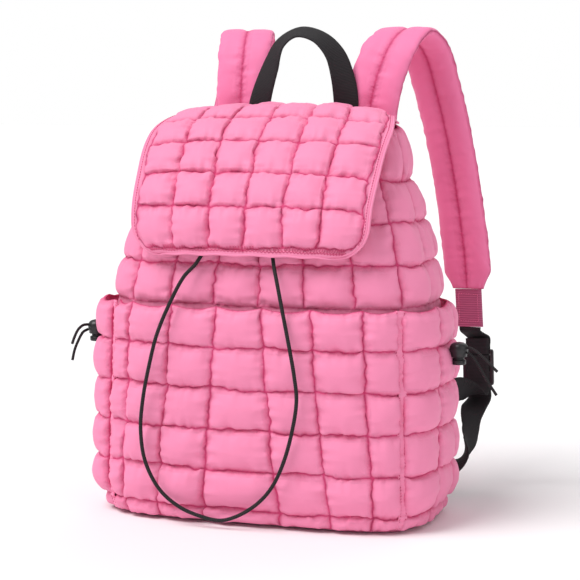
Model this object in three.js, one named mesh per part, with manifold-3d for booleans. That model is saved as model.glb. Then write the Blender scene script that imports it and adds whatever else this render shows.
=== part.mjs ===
// Quilted puffer backpack: a hollow quilted body with a gathered mouth, a lid flap, three outer pockets,
// two padded shoulder straps, a webbing handle, a drawcord and two cord locks.
// Millimetres, X to the right as seen from the front, Y towards the back panel, Z up, base on Z = 0.
import * as THREE from 'three';
import { mergeVertices } from 'three/addons/utils/BufferGeometryUtils.js';
import Module from 'manifold-3d';

const wasm = await Module();
wasm.setup();

// Body
const bodyHeight = 368;
const bodyHalfWidth = 158;
const bodyHalfDepth = 78;
const baseSeamHeight = 17;
const bodyRows = 9;
const pocketRows = 5;
const columnsAround = 18;
const bodyLinePhase = 0.24;
const rimRise = 19;
const shellWall = 2.5;
const backSquareness = 4.6;
const openPuff = 7.5;
const backPuff = 3.5;
const coveredPuff = 3;
const puffRoundness = 0.6;

// Pockets
const pocketBottom = 3;
const pocketLinePhase = 0.39;
const pocketThickness = 2.5;
const pocketPuff = 6;
const pocketSeamShare = 0.172;
const frontSpread = 6.5;
const rightSpread = 8;
const leftSpread = 13;
const pocketFlareHeight = 40;
const seamEdgeSpread = 0.55;

// Flap
const flapHalfWidth = 124;
const flapHemHalfWidth = 118;
const flapBackHalfWidth = 108;
const flapLean = 5;
const flapLength = 236;
const flapHem = 7;
const flapColumns = 6;
const flapRows = 6;
const flapThickness = 3.5;
const flapPuff = 6;
const flapCornerRadius = 30;
const flapCurl = 9;

// Webbing, straps and handle
const webbingWidth = 25;
const webbingThickness = 1.4;
const handleWidth = 25;
const handleThickness = 1.8;
const handleHalfSpan = 47;
const strapWidth = 56;
const strapThickness = 11;
const strapCentre = 70;
const strapEndWidth = 36;
const tabWidth = 31;
const tabThickness = 2.4;

// Slider
const sliderWidth = 33;
const sliderLength = 38;
const sliderThickness = 4;
const sliderBar = 4;
const sliderSlot = 8;
const sliderClearance = 0.4;
const webbingBend = 1.6;

// Cords and cord locks
const drawcordDiameter = 3.6;
const pocketCordDiameter = 2.8;
const eyeletRadius = 5.2;
const eyeletHoleRadius = 2.4;
const eyeletThickness = 1.6;
const eyeletSpacing = 28;
const snapRadius = 4.2;
const snapThickness = 2.2;
const lockRadius = 9;
const lockBarrelHeight = 14;
const plungerCapRadius = 7;
const plungerCapHeight = 5;
const plungerStemRadius = 5.2;
const plungerTravel = 2.5;
const lockWall = 2.4;
const lockDropRight = 44;
const lockDropLeft = 34;

// Gap that sewn and seated pieces keep to each other
const gap = 0.3;

const pocketHeight = baseSeamHeight + (pocketRows * (bodyHeight - baseSeamHeight)) / bodyRows;
const rowPitch = (bodyHeight - baseSeamHeight) / bodyRows;
const lockHeightRight = pocketHeight - lockDropRight;
const lockHeightLeft = pocketHeight - lockDropLeft;

// Sections of the body: height as a share of the body's height, width as a share of its half width,
// front and back as shares of its half depth, and how square the front corners are (2 is an ellipse).
const sections = [
  { height: 0.0, width: 0.945, front: 0.93, back: 0.94, square: 4.4 },
  { height: 0.011, width: 0.975, front: 0.96, back: 0.965, square: 4.3 },
  { height: 0.046, width: 0.995, front: 0.98, back: 0.98, square: 4.2 },
  { height: 0.15, width: 1.0, front: 0.99, back: 0.99, square: 3.8 },
  { height: 0.36, width: 1.0, front: 1.0, back: 1.0, square: 3.3 },
  { height: 0.576, width: 0.995, front: 1.01, back: 1.0, square: 3.0 },
  { height: 0.682, width: 0.96, front: 0.95, back: 1.0, square: 2.9 },
  { height: 0.788, width: 0.885, front: 0.79, back: 0.99, square: 2.8 },
  { height: 0.894, width: 0.79, front: 0.5, back: 0.975, square: 2.7 },
  { height: 1.0, width: 0.71, front: 0.1, back: 0.96, square: 2.6 },
];

// The flap's outer profile over the mouth, hem first: forward of the back panel as a share of the body's
// depth, and height as a share of the body's height.
const flapProfile = [
  { forward: 1.085, height: 0.709 },
  { forward: 1.02, height: 0.83 },
  { forward: 0.862, height: 0.923 },
  { forward: 0.695, height: 1.0 },
  { forward: 0.483, height: 1.058 },
  { forward: 0.27, height: 1.083 },
  { forward: 0.02, height: 1.0665 },
];

// Finishes
const pinkCloth = new THREE.MeshStandardMaterial({ color: 0xf297bd, roughness: 0.6, metalness: 0 });
const pinkWebbing = new THREE.MeshStandardMaterial({ color: 0xb9577f, roughness: 0.8, metalness: 0 });
const blackWebbing = new THREE.MeshStandardMaterial({ color: 0x1a1719, roughness: 0.7, metalness: 0 });
const blackCord = new THREE.MeshStandardMaterial({ color: 0x171416, roughness: 0.8, metalness: 0 });
const blackPlastic = new THREE.MeshStandardMaterial({ color: 0x1c1a1b, roughness: 0.4, metalness: 0 });
const pinkPlastic = new THREE.MeshStandardMaterial({ color: 0xea7fae, roughness: 0.4, metalness: 0 });

const backpack = new THREE.Group();
backpack.name = 'backpack';

function addPiece(name, geometry, material) {
  const mesh = new THREE.Mesh(geometry, material);
  mesh.name = name;
  backpack.add(mesh);
  return mesh;
}

// Geometry helpers

// Six times the signed volume under an indexed mesh, negative when its faces point inwards.
function signedVolume(geometry) {
  const position = geometry.getAttribute('position');
  const index = geometry.index;
  const a = new THREE.Vector3();
  const b = new THREE.Vector3();
  const c = new THREE.Vector3();
  let sum = 0;
  for (let i = 0; i < index.count; i += 3) {
    a.fromBufferAttribute(position, index.getX(i));
    b.fromBufferAttribute(position, index.getX(i + 1));
    c.fromBufferAttribute(position, index.getX(i + 2));
    sum += a.dot(b.cross(c));
  }
  return sum;
}

function turnInsideOut(geometry) {
  const index = geometry.index;
  for (let i = 0; i < index.count; i += 3) {
    const second = index.getX(i + 1);
    index.setX(i + 1, index.getX(i + 2));
    index.setX(i + 2, second);
  }
  return geometry;
}

function outwards(geometry) {
  return signedVolume(geometry) < 0 ? turnInsideOut(geometry) : geometry;
}

// A closed geometry from points and triangles, with its faces turned outwards.
function closedGeometry(points, triangles) {
  const geometry = new THREE.BufferGeometry().setFromPoints(points);
  geometry.setIndex(triangles);
  outwards(geometry).computeVertexNormals();
  return geometry;
}

// The same shape on the other side of the plane X = 0.
function mirrored(geometry) {
  const copy = geometry.clone().applyMatrix4(new THREE.Matrix4().makeScale(-1, 1, 1));
  if (copy.index) return turnInsideOut(copy);
  const merged = mergeVertices(bare(copy), 1e-4);
  return turnInsideOut(merged);
}

function bare(geometry) {
  geometry.deleteAttribute('normal');
  geometry.deleteAttribute('uv');
  return geometry;
}

function solidFrom(geometry) {
  const merged = mergeVertices(bare(geometry), 1e-4);
  return new wasm.Manifold(
    new wasm.Mesh({
      numProp: 3,
      vertProperties: new Float32Array(merged.getAttribute('position').array),
      triVerts: new Uint32Array(merged.index.array),
    }),
  );
}

function geometryFrom(solid) {
  const mesh = solid.getMesh();
  const geometry = new THREE.BufferGeometry();
  geometry.setAttribute('position', new THREE.BufferAttribute(mesh.vertProperties, mesh.numProp));
  geometry.setIndex([...mesh.triVerts]);
  return geometry;
}

function fanCap(points, triangles, ring, start) {
  const centre = new THREE.Vector3();
  ring.forEach((point) => centre.add(point));
  points.push(centre.divideScalar(ring.length));
  const middle = points.length - 1;
  ring.forEach((_, i) => triangles.push(middle, start + i, start + ((i + 1) % ring.length)));
}

// A closed solid through rings of points, with a fan across the first and the last ring. On a twisted flat
// bar the diagonals of both faces run the same way, so that the faces don't cross.
function loftRings(rings, isBar = false) {
  const count = rings[0].length;
  const points = rings.flat().map((point) => point.clone());
  const triangles = [];
  for (let j = 0; j + 1 < rings.length; j++) {
    for (let i = 0; i < count; i++) {
      const a = j * count + i;
      const b = j * count + ((i + 1) % count);
      if (isBar && i >= count / 2) triangles.push(a, b, a + count, b, b + count, a + count);
      else triangles.push(a, b, b + count, a, b + count, a + count);
    }
  }
  const endStart = (rings.length - 1) * count;
  const endCap = [];
  fanCap(points, endCap, rings.at(-1), endStart);
  const startCap = [];
  fanCap(points, startCap, rings[0], 0);
  for (let i = 0; i < startCap.length; i += 3) triangles.push(startCap[i], startCap[i + 2], startCap[i + 1]);
  triangles.push(...endCap);
  return closedGeometry(points, triangles);
}

// A closed sheet between two grids of points with the same rows and columns.
function slab(outer, inner) {
  const rows = outer.length;
  const columns = outer[0].length;
  const points = [...outer.flat(), ...inner.flat()];
  const innerStart = rows * columns;
  const triangles = [];
  const quad = (a, b, c, d) => triangles.push(a, b, c, a, c, d);
  for (let j = 0; j + 1 < rows; j++) {
    for (let i = 0; i + 1 < columns; i++) {
      const a = j * columns + i;
      quad(a, a + 1, a + 1 + columns, a + columns);
      quad(innerStart + a, innerStart + a + columns, innerStart + a + 1 + columns, innerStart + a + 1);
    }
    const left = j * columns;
    const right = left + columns - 1;
    quad(left, left + columns, innerStart + left + columns, innerStart + left);
    quad(right, innerStart + right, innerStart + right + columns, right + columns);
  }
  for (let i = 0; i + 1 < columns; i++) {
    const top = (rows - 1) * columns + i;
    quad(i, innerStart + i, innerStart + i + 1, i + 1);
    quad(top, top + 1, innerStart + top + 1, innerStart + top);
  }
  return closedGeometry(points, triangles);
}

// Places between stitch lines, each with its puff share: 0 on a line, 1 in the middle of a cell.
function puffSteps(lines, stepsPerCell, fullCell) {
  const steps = [];
  for (let i = 0; i + 1 < lines.length; i++) {
    const fullness = Math.min(1, Math.sqrt((lines[i + 1] - lines[i]) / fullCell));
    const count = fullness < 0.75 ? Math.min(2, stepsPerCell) : stepsPerCell;
    for (let k = 0; k < count; k++) {
      const share = k / count;
      const puff = fullness * Math.sin(Math.PI * share) ** puffRoundness;
      steps.push({ at: THREE.MathUtils.lerp(lines[i], lines[i + 1], share), puff });
    }
  }
  steps.push({ at: lines.at(-1), puff: 0 });
  return steps;
}

// Stitch lines of a regular pitch between two ends, without slivers at the ends.
function linesBetween(from, to, pitch, phase) {
  const sliver = 0.3 * pitch;
  const lines = [from];
  for (let k = Math.ceil(from / pitch - phase); (k + phase) * pitch < to - sliver; k++) {
    if ((k + phase) * pitch > from + sliver) lines.push((k + phase) * pitch);
  }
  lines.push(to);
  return lines;
}

function smooth(value) {
  return THREE.MathUtils.smoothstep(value, 0, 1);
}

// Body surface

// The body's section at a height: half width, centre and half depth in Y.
function sectionAt(height) {
  const share = THREE.MathUtils.clamp(height / bodyHeight, 0, 1);
  let i = 0;
  while (i + 2 < sections.length && share > sections[i + 1].height) i++;
  const low = sections[i];
  const high = sections[i + 1];
  const part = (share - low.height) / (high.height - low.height);
  const mix = (name) => THREE.MathUtils.lerp(low[name], high[name], part);
  const front = -bodyHalfDepth * mix('front');
  const back = bodyHalfDepth * mix('back');
  return {
    halfWidth: bodyHalfWidth * mix('width'),
    centre: (front + back) / 2,
    halfDepth: (back - front) / 2,
    frontSquareness: mix('square'),
  };
}

// A point on a section's outline and its outward normal, by angle: 0 in front, a quarter turn on the right.
function outlineAt(section, angle) {
  const sine = Math.sin(angle);
  const cosine = Math.cos(angle);
  const squareness = cosine > 0 ? section.frontSquareness : backSquareness;
  const blend = smooth(Math.abs(cosine) * 3);
  const power = THREE.MathUtils.lerp((section.frontSquareness + backSquareness) / 2, squareness, blend);
  const x = Math.sign(sine) * Math.abs(sine) ** (2 / power);
  const y = -Math.sign(cosine) * Math.abs(cosine) ** (2 / power);
  const slopeX = (Math.sign(x) * Math.abs(x) ** (power - 1)) / section.halfWidth;
  const slopeY = (Math.sign(y) * Math.abs(y) ** (power - 1)) / section.halfDepth;
  return {
    point: new THREE.Vector2(section.halfWidth * x, section.centre + section.halfDepth * y),
    normal: new THREE.Vector2(slopeX, slopeY).normalize(),
  };
}

// The angle at each share of the way round, measured along the outline at the pocket's top.
const outlineSteps = 720;
const angleTable = (() => {
  const section = sectionAt(pocketHeight);
  const lengths = [0];
  let last = outlineAt(section, 0).point;
  for (let i = 1; i <= outlineSteps; i++) {
    const next = outlineAt(section, (2 * Math.PI * i) / outlineSteps).point;
    lengths.push(lengths.at(-1) + next.distanceTo(last));
    last = next;
  }
  return lengths;
})();
const bodyGirth = angleTable.at(-1);

function angleAt(share) {
  const length = (share - Math.floor(share)) * bodyGirth;
  let i = 0;
  while (angleTable[i + 1] < length) i++;
  const part = (length - angleTable[i]) / (angleTable[i + 1] - angleTable[i]);
  return (2 * Math.PI * (i + part)) / outlineSteps;
}

// A point at a share of the way round, a height and an offset outwards. The back of the mouth stands higher.
function bodyPoint(share, height, offset) {
  const { point, normal } = outlineAt(sectionAt(height), angleAt(share));
  const topRow = bodyHeight - rowPitch;
  const backness = 0.5 - 0.5 * Math.cos(2 * Math.PI * share);
  const lift = rimRise * backness * THREE.MathUtils.clamp((height - topRow) / rowPitch, 0, 1);
  return new THREE.Vector3(point.x + normal.x * offset, point.y + normal.y * offset, height + lift);
}

// The outward direction there, level with the floor.
function bodyNormal(share, height) {
  const { normal } = outlineAt(sectionAt(height), angleAt(share));
  return new THREE.Vector3(normal.x, normal.y, 0);
}

// How far the middle of a cell stands out: less under the pockets and on the back, nothing where straps seat.
function bodyPuffAt(share, height) {
  const round = Math.min(share - Math.floor(share), Math.ceil(share) - share);
  const backward = smooth((round - 0.335) / 0.05);
  const underPocket = (1 - smooth((height - pocketHeight + 4) / 12)) * (1 - backward);
  const seat = backward * smooth((height - (bodyHeight - 1.2 * rowPitch)) / (0.4 * rowPitch));
  const open = THREE.MathUtils.lerp(openPuff, backPuff, backward);
  return THREE.MathUtils.lerp(open, coveredPuff, underPocket) * (1 - seat);
}

const rowLines = Array.from({ length: bodyRows + 1 }, (_, i) => baseSeamHeight + i * rowPitch);
const columnLines = Array.from({ length: columnsAround + 1 }, (_, i) => (i + bodyLinePhase) / columnsAround);
const columnPitch = 1 / columnsAround;

// The hollow body: outside with puffs from the base to the mouth, then the plain inside down to its floor.
function bodyShell() {
  const around = puffSteps(columnLines, 3, columnPitch).slice(0, -1);
  const ring = (height, puff, inset) =>
    around.map((step) => {
      const stand = puff * step.puff * bodyPuffAt(step.at, height);
      return bodyPoint(step.at, height, stand - inset);
    });
  const lowerRows = puffSteps(rowLines.slice(0, pocketRows + 1), 2, rowPitch).slice(0, -1);
  const upperRows = puffSteps(rowLines.slice(pocketRows), 3, rowPitch);
  const outside = [ring(0, 0, 0), ring(pocketBottom + 1, 0, 0)];
  [...lowerRows, ...upperRows].forEach((row) => outside.push(ring(row.at, row.puff, 0)));
  const insideHeights = [bodyHeight, bodyHeight - rowPitch, pocketHeight, baseSeamHeight];
  const inside = insideHeights.map((height) => ring(height, 0, shellWall));
  inside.push(ring(shellWall, 0, shellWall + 3));
  return loftRings([...outside, ...inside]);
}

// Pockets

// How far a pocket's outer stitch lines and its inner face stand off the body.
function pocketOffsets(share, height, from, to, spread) {
  const rise = smooth((height - pocketBottom) / pocketFlareHeight);
  const along = (share - from) / (to - from);
  const belly = Math.sin(Math.PI * THREE.MathUtils.clamp(along, 0, 1));
  const fullness = seamEdgeSpread + (1 - seamEdgeSpread) * Math.sqrt(belly);
  const closed = coveredPuff + gap;
  const outer = closed + pocketThickness + spread * rise * fullness;
  const openness = smooth(belly * 4) * rise;
  return { outer, inner: closed + spread * openness * fullness };
}

function pocketSlab(from, to, lines, spread) {
  const columns = puffSteps(lines, 3, columnPitch);
  const rows = puffSteps(rowLines.slice(0, pocketRows + 1), 3, rowPitch);
  rows.unshift({ at: pocketBottom, puff: 0 });
  const place = (row, column, side) => {
    const offsets = pocketOffsets(column.at, row.at, from, to, spread);
    const stand = side === 'outer' ? pocketPuff * row.puff * column.puff : 0;
    return bodyPoint(column.at, row.at, offsets[side] + stand);
  };
  const outer = rows.map((row) => columns.map((column) => place(row, column, 'outer')));
  const inner = rows.map((row) => columns.map((column) => place(row, column, 'inner')));
  return slab(outer, inner);
}

const seamGapShare = gap / bodyGirth;
const frontPocketEnds = [-pocketSeamShare + seamGapShare, pocketSeamShare - seamGapShare];
const sidePocketEnds = [pocketSeamShare + seamGapShare, 0.5 - pocketSeamShare];

function frontPocket() {
  const lines = linesBetween(...frontPocketEnds, columnPitch, pocketLinePhase);
  return pocketSlab(...frontPocketEnds, lines, frontSpread);
}

// A side pocket: side is 1 on the right and -1 on the left.
function sidePocketLines(side) {
  const [near, far] = sidePocketEnds;
  const lines = linesBetween(near, far, columnPitch, near / columnPitch + 0.9);
  return side > 0 ? lines : lines.map((line) => -line).reverse();
}

function sidePocket(side, spread) {
  const lines = sidePocketLines(side);
  return pocketSlab(lines[0], lines.at(-1), lines, spread);
}

// Flap

const flapCurve = new THREE.CatmullRomCurve3(
  flapProfile.map(
    (row) => new THREE.Vector3(0, bodyHalfDepth - 2 * bodyHalfDepth * row.forward, bodyHeight * row.height),
  ),
  false,
  'centripetal',
);
const flapScale = flapCurve.getLength() / flapLength;

// A place on the flap: along from the hem in millimetres of cloth, across from -1 to 1, offset outwards.
function flapPoint(along, across, offset) {
  const share = THREE.MathUtils.clamp((along * flapScale) / flapCurve.getLength(), 0, 1);
  const point = flapCurve.getPointAt(share);
  const tangent = flapCurve.getTangentAt(share);
  const outward = new THREE.Vector3(0, -tangent.z, tangent.y);
  const widest = THREE.MathUtils.lerp(flapHemHalfWidth, flapHalfWidth, smooth(share * 1.6));
  const halfWidth = THREE.MathUtils.lerp(widest, flapBackHalfWidth, smooth((share - 0.6) / 0.4));
  const corner = Math.max(0, 1 - along / flapCornerRadius);
  const cut = flapCornerRadius * (1 - Math.sqrt(1 - corner * corner)) * Math.abs(across) ** 3;
  const x = across * halfWidth - Math.sign(across) * cut - flapLean * smooth(share * 1.6);
  const curl = flapCurl * Math.abs(across) ** 3;
  return new THREE.Vector3(x, point.y, point.z).addScaledVector(outward, offset - curl);
}

function flap() {
  const hemShare = flapHem / flapHalfWidth;
  const acrossLines = Array.from(
    { length: flapColumns + 1 },
    (_, i) => (1 - hemShare) * (-1 + (2 * i) / flapColumns),
  );
  const alongPitch = (flapLength - flapHem) / flapRows;
  const alongLines = Array.from({ length: flapRows + 1 }, (_, i) => flapHem + i * alongPitch);
  const columns = puffSteps(acrossLines, 3, acrossLines[1] - acrossLines[0]);
  columns.unshift({ at: -1, puff: 0 });
  columns.push({ at: 1, puff: 0 });
  const rows = puffSteps(alongLines, 3, alongPitch);
  rows.unshift({ at: 0, puff: 0 });
  const outer = rows.map((row) =>
    columns.map((column) => flapPoint(row.at, column.at, flapPuff * row.puff * column.puff)),
  );
  const inner = rows.map((row) => columns.map((column) => flapPoint(row.at, column.at, -flapThickness)));
  return slab(outer, inner);
}

// Strips: straps and webbing

// A section across a strip: a flat bar, or a padded one with rounded long edges.
function barSection(width, thickness, edge) {
  const halfWidth = width / 2;
  const half = thickness / 2;
  if (!edge) return [[-halfWidth, -half], [halfWidth, -half], [halfWidth, half], [-halfWidth, half]];
  const side = half * 0.45;
  return [
    [-halfWidth + edge, -half],
    [halfWidth - edge, -half],
    [halfWidth, -side],
    [halfWidth, side],
    [halfWidth - edge, half],
    [-halfWidth + edge, half],
    [-halfWidth, side],
    [-halfWidth, -side],
  ];
}

// A strip along a route. Each row of the route has a point and the direction of the strip's width there.
function strip(route, steps, thickness, widthAt, edge = 0) {
  const curve = new THREE.CatmullRomCurve3(route.map((row) => row.point), false, 'centripetal');
  const rings = [];
  for (let i = 0; i <= steps; i++) {
    const share = i / steps;
    const place = curve.getUtoTmapping(share);
    const exact = place * (route.length - 1);
    const low = Math.min(Math.floor(exact), route.length - 2);
    const centre = curve.getPoint(place);
    const tangent = curve.getTangent(place);
    const across = route[low].across.clone().lerp(route[low + 1].across, exact - low);
    across.addScaledVector(tangent, -across.dot(tangent)).normalize();
    const outward = new THREE.Vector3().crossVectors(tangent, across);
    rings.push(
      barSection(widthAt(share), thickness, edge).map(([a, b]) =>
        centre.clone().addScaledVector(across, a).addScaledVector(outward, b),
      ),
    );
  }
  return loftRings(rings, true);
}

// A strip through places, for the short tight folds round a slider's bars.
function foldedStrip(places, width, thickness) {
  const rings = places.map(({ point, across }, i) => {
    const before = places[Math.max(i - 1, 0)].point;
    const after = places[Math.min(i + 1, places.length - 1)].point;
    const inward = point.clone().sub(before).normalize();
    const onward = after.clone().sub(point).normalize();
    const tangent = inward.clone().add(onward).normalize();
    const mitre = 1 / Math.max(0.5, Math.abs(tangent.dot(i ? inward : onward)));
    const wide = across.clone().addScaledVector(tangent, -across.dot(tangent)).normalize();
    const outward = new THREE.Vector3().crossVectors(tangent, wide);
    return barSection(width, thickness * mitre, 0).map(([a, b]) =>
      point.clone().addScaledVector(wide, a).addScaledVector(outward, b),
    );
  });
  return loftRings(rings, true);
}

const vector = (x, y, z) => new THREE.Vector3(x, y, z);

const backPlane = bodyHalfDepth * sections.at(-1).back;
const backTop = bodyHeight + rimRise;

// The handle: x as a share of half its span, rise above the back's top as a share of the handle's rise,
// how far it stands off the back, and its turn in degrees from flat on the back to edge on.
const handleRise = 87;
const handleRoute = [
  { x: -1, rise: -0.4, off: 0, turn: 0 },
  { x: -1, rise: -0.13, off: 0, turn: 0 },
  { x: -1, rise: -0.03, off: -0.4, turn: 0 },
  { x: -0.93, rise: 0.2, off: -3, turn: 10 },
  { x: -0.68, rise: 0.58, off: -6, turn: 30 },
  { x: -0.45, rise: 0.86, off: -6, turn: 52 },
  { x: -0.05, rise: 0.99, off: -5, turn: 64 },
  { x: 0.42, rise: 0.93, off: -5, turn: 64 },
  { x: 0.78, rise: 0.74, off: -6, turn: 52 },
  { x: 0.96, rise: 0.48, off: -6.5, turn: 36 },
  { x: 1.02, rise: 0.22, off: -4, turn: 17 },
  { x: 1, rise: -0.03, off: -0.4, turn: 0 },
  { x: 1, rise: -0.13, off: 0, turn: 0 },
  { x: 1, rise: -0.4, off: 0, turn: 0 },
];

function haulHandle() {
  const seat = bodyHalfDepth + gap + handleThickness / 2;
  const points = handleRoute.map((row) =>
    vector(row.x * handleHalfSpan, seat + row.off, backTop + row.rise * handleRise),
  );
  const route = handleRoute.map((row, i) => {
    const before = points[Math.max(i - 1, 0)];
    const after = points[Math.min(i + 1, points.length - 1)];
    const tangent = after.clone().sub(before).normalize();
    const flat = new THREE.Vector3().crossVectors(tangent, vector(0, 1, 0)).normalize();
    const turn = THREE.MathUtils.degToRad(row.turn);
    const across = flat.multiplyScalar(Math.cos(turn)).addScaledVector(vector(0, 1, 0), Math.sin(turn));
    return { point: points[i], across };
  });
  return strip(route, 20, handleThickness, () => handleWidth);
}

// The shoulder straps: out from the root's centre line on the right and on the left, back from the back
// panel and up from the back's top, as shares of the strap's rise, and the turn of the strap's width about
// the vertical in degrees. The left one stands straighter.
const strapRise = 92;
const strapRoute = [
  { right: 0, left: 0, back: 0, up: -0.39, turn: 0 },
  { right: 0, left: -0.02, back: 0, up: -0.02, turn: 0 },
  { right: 0.07, left: -0.02, back: 0.03, up: 0.42, turn: 0 },
  { right: 0.2, left: 0, back: 0.18, up: 0.8, turn: 2 },
  { right: 0.3, left: 0.07, back: 0.45, up: 0.94, turn: 6 },
  { right: 0.42, left: 0.16, back: 0.72, up: 0.76, turn: 10 },
  { right: 0.54, left: 0.28, back: 0.86, up: 0.3, turn: 14 },
  { right: 0.67, left: 0.48, back: 0.93, up: -0.3, turn: 16 },
  { right: 0.78, left: 0.74, back: 1.0, up: -1.02, turn: 16 },
  { right: 0.86, left: 0.86, back: 1.04, up: -1.72, turn: 14 },
  { right: 0.87, left: 0.87, back: 1.045, up: -1.95, turn: 13 },
];

function acrossAt(turn) {
  const angle = THREE.MathUtils.degToRad(turn);
  return vector(Math.cos(angle), -Math.sin(angle), 0);
}

const strapSeat = bodyHalfDepth + 3 * gap + handleThickness + strapThickness / 2;

function strapPoint(row, side) {
  const out = strapCentre + row[side] * strapRise;
  return vector(out, strapSeat + row.back * strapRise, backTop + row.up * strapRise);
}

function strapWidthAt(share) {
  const taper = smooth((share - 0.95) / 0.05);
  return THREE.MathUtils.lerp(strapWidth, strapEndWidth, taper);
}

function shoulderStrap(side) {
  const route = strapRoute.map((row) => ({ point: strapPoint(row, side), across: acrossAt(row.turn) }));
  return strip(route, 20, strapThickness, strapWidthAt, 6);
}

const strapEnd = strapPoint(strapRoute.at(-1), 'right');
const strapEndTurn = strapRoute.at(-1).turn;
const tabLength = 40;
const tabTop = strapEnd.clone().add(vector(0, 0, -gap));
const tabRun = vector(0.05, 0.035, -1).normalize();
const tabEnd = tabTop.clone().addScaledVector(tabRun, tabLength);

function strapTab() {
  const route = [
    { point: tabTop, across: acrossAt(strapEndTurn) },
    { point: tabEnd, across: acrossAt(strapEndTurn) },
  ];
  return strip(route, 2, tabThickness, () => tabWidth);
}

// The slider hangs below the tab. Its own frame: across its width, down its length, outward from the bag.
const sliderCentre = tabEnd.clone().add(vector(8, 7, -44));
const sliderAcross = vector(1, -0.05, 0.05).normalize();
const sliderDown = vector(-0.12, -0.06, -1);
sliderDown.addScaledVector(sliderAcross, -sliderDown.dot(sliderAcross)).normalize();
const sliderOutward = new THREE.Vector3().crossVectors(sliderAcross, sliderDown).normalize();

function inSlider(across, down, outward) {
  return sliderCentre
    .clone()
    .addScaledVector(sliderAcross, across)
    .addScaledVector(sliderDown, down)
    .addScaledVector(sliderOutward, outward);
}

const slotHalfWidth = webbingWidth / 2 + sliderClearance + 0.3;
const upperSlotTop = -sliderLength / 2 + sliderBar;
const lowerSlotTop = upperSlotTop + sliderSlot + sliderBar;

function strapSlider() {
  const halfWidth = sliderWidth / 2;
  const halfLength = sliderLength / 2;
  const corner = 4;
  const outline = new THREE.Shape();
  outline.moveTo(-halfWidth + corner, -halfLength);
  outline.lineTo(halfWidth - corner, -halfLength);
  outline.quadraticCurveTo(halfWidth, -halfLength, halfWidth, -halfLength + corner);
  outline.lineTo(halfWidth, halfLength - corner);
  outline.quadraticCurveTo(halfWidth, halfLength, halfWidth - corner, halfLength);
  outline.lineTo(-halfWidth + corner, halfLength);
  outline.quadraticCurveTo(-halfWidth, halfLength, -halfWidth, halfLength - corner);
  outline.lineTo(-halfWidth, -halfLength + corner);
  outline.quadraticCurveTo(-halfWidth, -halfLength, -halfWidth + corner, -halfLength);
  const blank = new THREE.ExtrudeGeometry(outline, {
    depth: sliderThickness,
    bevelEnabled: false,
    curveSegments: 3,
  });
  let plate = solidFrom(blank.translate(0, 0, -sliderThickness / 2));
  for (const slotTop of [upperSlotTop, lowerSlotTop]) {
    const slot = new THREE.BoxGeometry(2 * slotHalfWidth, sliderSlot, 2 * sliderThickness);
    plate = plate.subtract(solidFrom(slot.translate(0, slotTop + sliderSlot / 2, 0)));
  }
  const frame = new THREE.Matrix4().makeBasis(sliderAcross, sliderDown, sliderOutward);
  return geometryFrom(plate).applyMatrix4(frame.setPosition(sliderCentre));
}

// A fold round a bar: down one face, through the slot and back along the other face. Edge is the place of the
// bar's edge in the slot, and way is 1 when the runs leave upwards of it and -1 when they leave downwards.
function foldInSlider(edge, way) {
  const level = sliderThickness / 2 + sliderClearance + webbingThickness / 2;
  const pass = edge + way * (sliderClearance + webbingThickness / 2);
  const corner = [];
  const turns = 3;
  for (let i = 0; i <= turns; i++) {
    const angle = (Math.PI / 2) * (i / turns);
    corner.push({
      down: pass - way * webbingBend * (1 - Math.sin(angle)),
      outward: level - webbingBend * (1 - Math.cos(angle)),
    });
  }
  const front = corner.map((place) => inSlider(0, place.down, place.outward));
  const back = corner.map((place) => inSlider(0, place.down, -place.outward)).reverse();
  return { level, folded: [...front, ...back] };
}

// Points along a smooth curve through rows, with the direction of the strip's width at each.
function alongCurve(rows, steps) {
  const curve = new THREE.CatmullRomCurve3(rows.map((row) => row.point), false, 'centripetal');
  const places = [];
  for (let i = 0; i <= steps; i++) {
    const exact = curve.getUtoTmapping(i / steps) * (rows.length - 1);
    const low = Math.min(Math.floor(exact), rows.length - 2);
    const across = rows[low].across.clone().lerp(rows[low + 1].across, exact - low).normalize();
    places.push({ point: curve.getPointAt(i / steps), across });
  }
  return places;
}

// The webbing sewn below the tab: down to the slider, round its top bar and back up against itself.
function upperWebbing() {
  const { level, folded } = foldInSlider(upperSlotTop, 1);
  const above = -sliderLength / 2 - 4;
  const tabAcross = acrossAt(strapEndTurn);
  const rows = [
    { point: tabEnd.clone().addScaledVector(tabRun, gap), across: tabAcross },
    { point: tabEnd.clone().addScaledVector(tabRun, 4), across: tabAcross },
    { point: inSlider(0, above - 7, level + 0.6), across: sliderAcross },
    { point: inSlider(0, above, level), across: sliderAcross },
  ];
  const back = [inSlider(0, above, -level), inSlider(0, above - 8, -level - 0.6)];
  const places = [
    ...alongCurve(rows, 9),
    ...[...folded, ...back].map((point) => ({ point, across: sliderAcross })),
  ];
  return foldedStrip(places, webbingWidth, webbingThickness);
}

// The lower webbing: from the bag's lower back corner up outside the slider, over its bar and back on the
// bag's side, where its loose end curves in behind the side pocket. Out is a share of the body's half width,
// and back, from the back panel, and up are shares of the reach.
const anchorShare = 0.385;
const anchorHeight = 24;
const lowerReach = 100;
const lowerRun = [
  { out: 0.772, back: 0.19, up: 0.27, across: vector(-0.05, 0.12, 1) },
  { out: 0.911, back: 0.31, up: 0.3, across: vector(-0.2, 0.5, 0.8) },
  { out: 1, back: 0.44, up: 0.37, across: vector(-0.3, 0.9, 0.15) },
  { out: 1.019, back: 0.62, up: 0.5, across: vector(0.14, 0.99, 0) },
  { out: 1.013, back: 0.78, up: 0.62, across: vector(0.35, 0.93, 0) },
  { out: 1, back: 0.92, up: 0.78, across: vector(0.7, 0.7, 0) },
];
const looseRun = [
  { out: 0.937, back: 0.82, up: 1.04 },
  { out: 0.911, back: 0.6, up: 1.04 },
  { out: 0.892, back: 0.4, up: 1.01 },
  { out: 0.873, back: 0.2, up: 0.97 },
];

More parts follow.
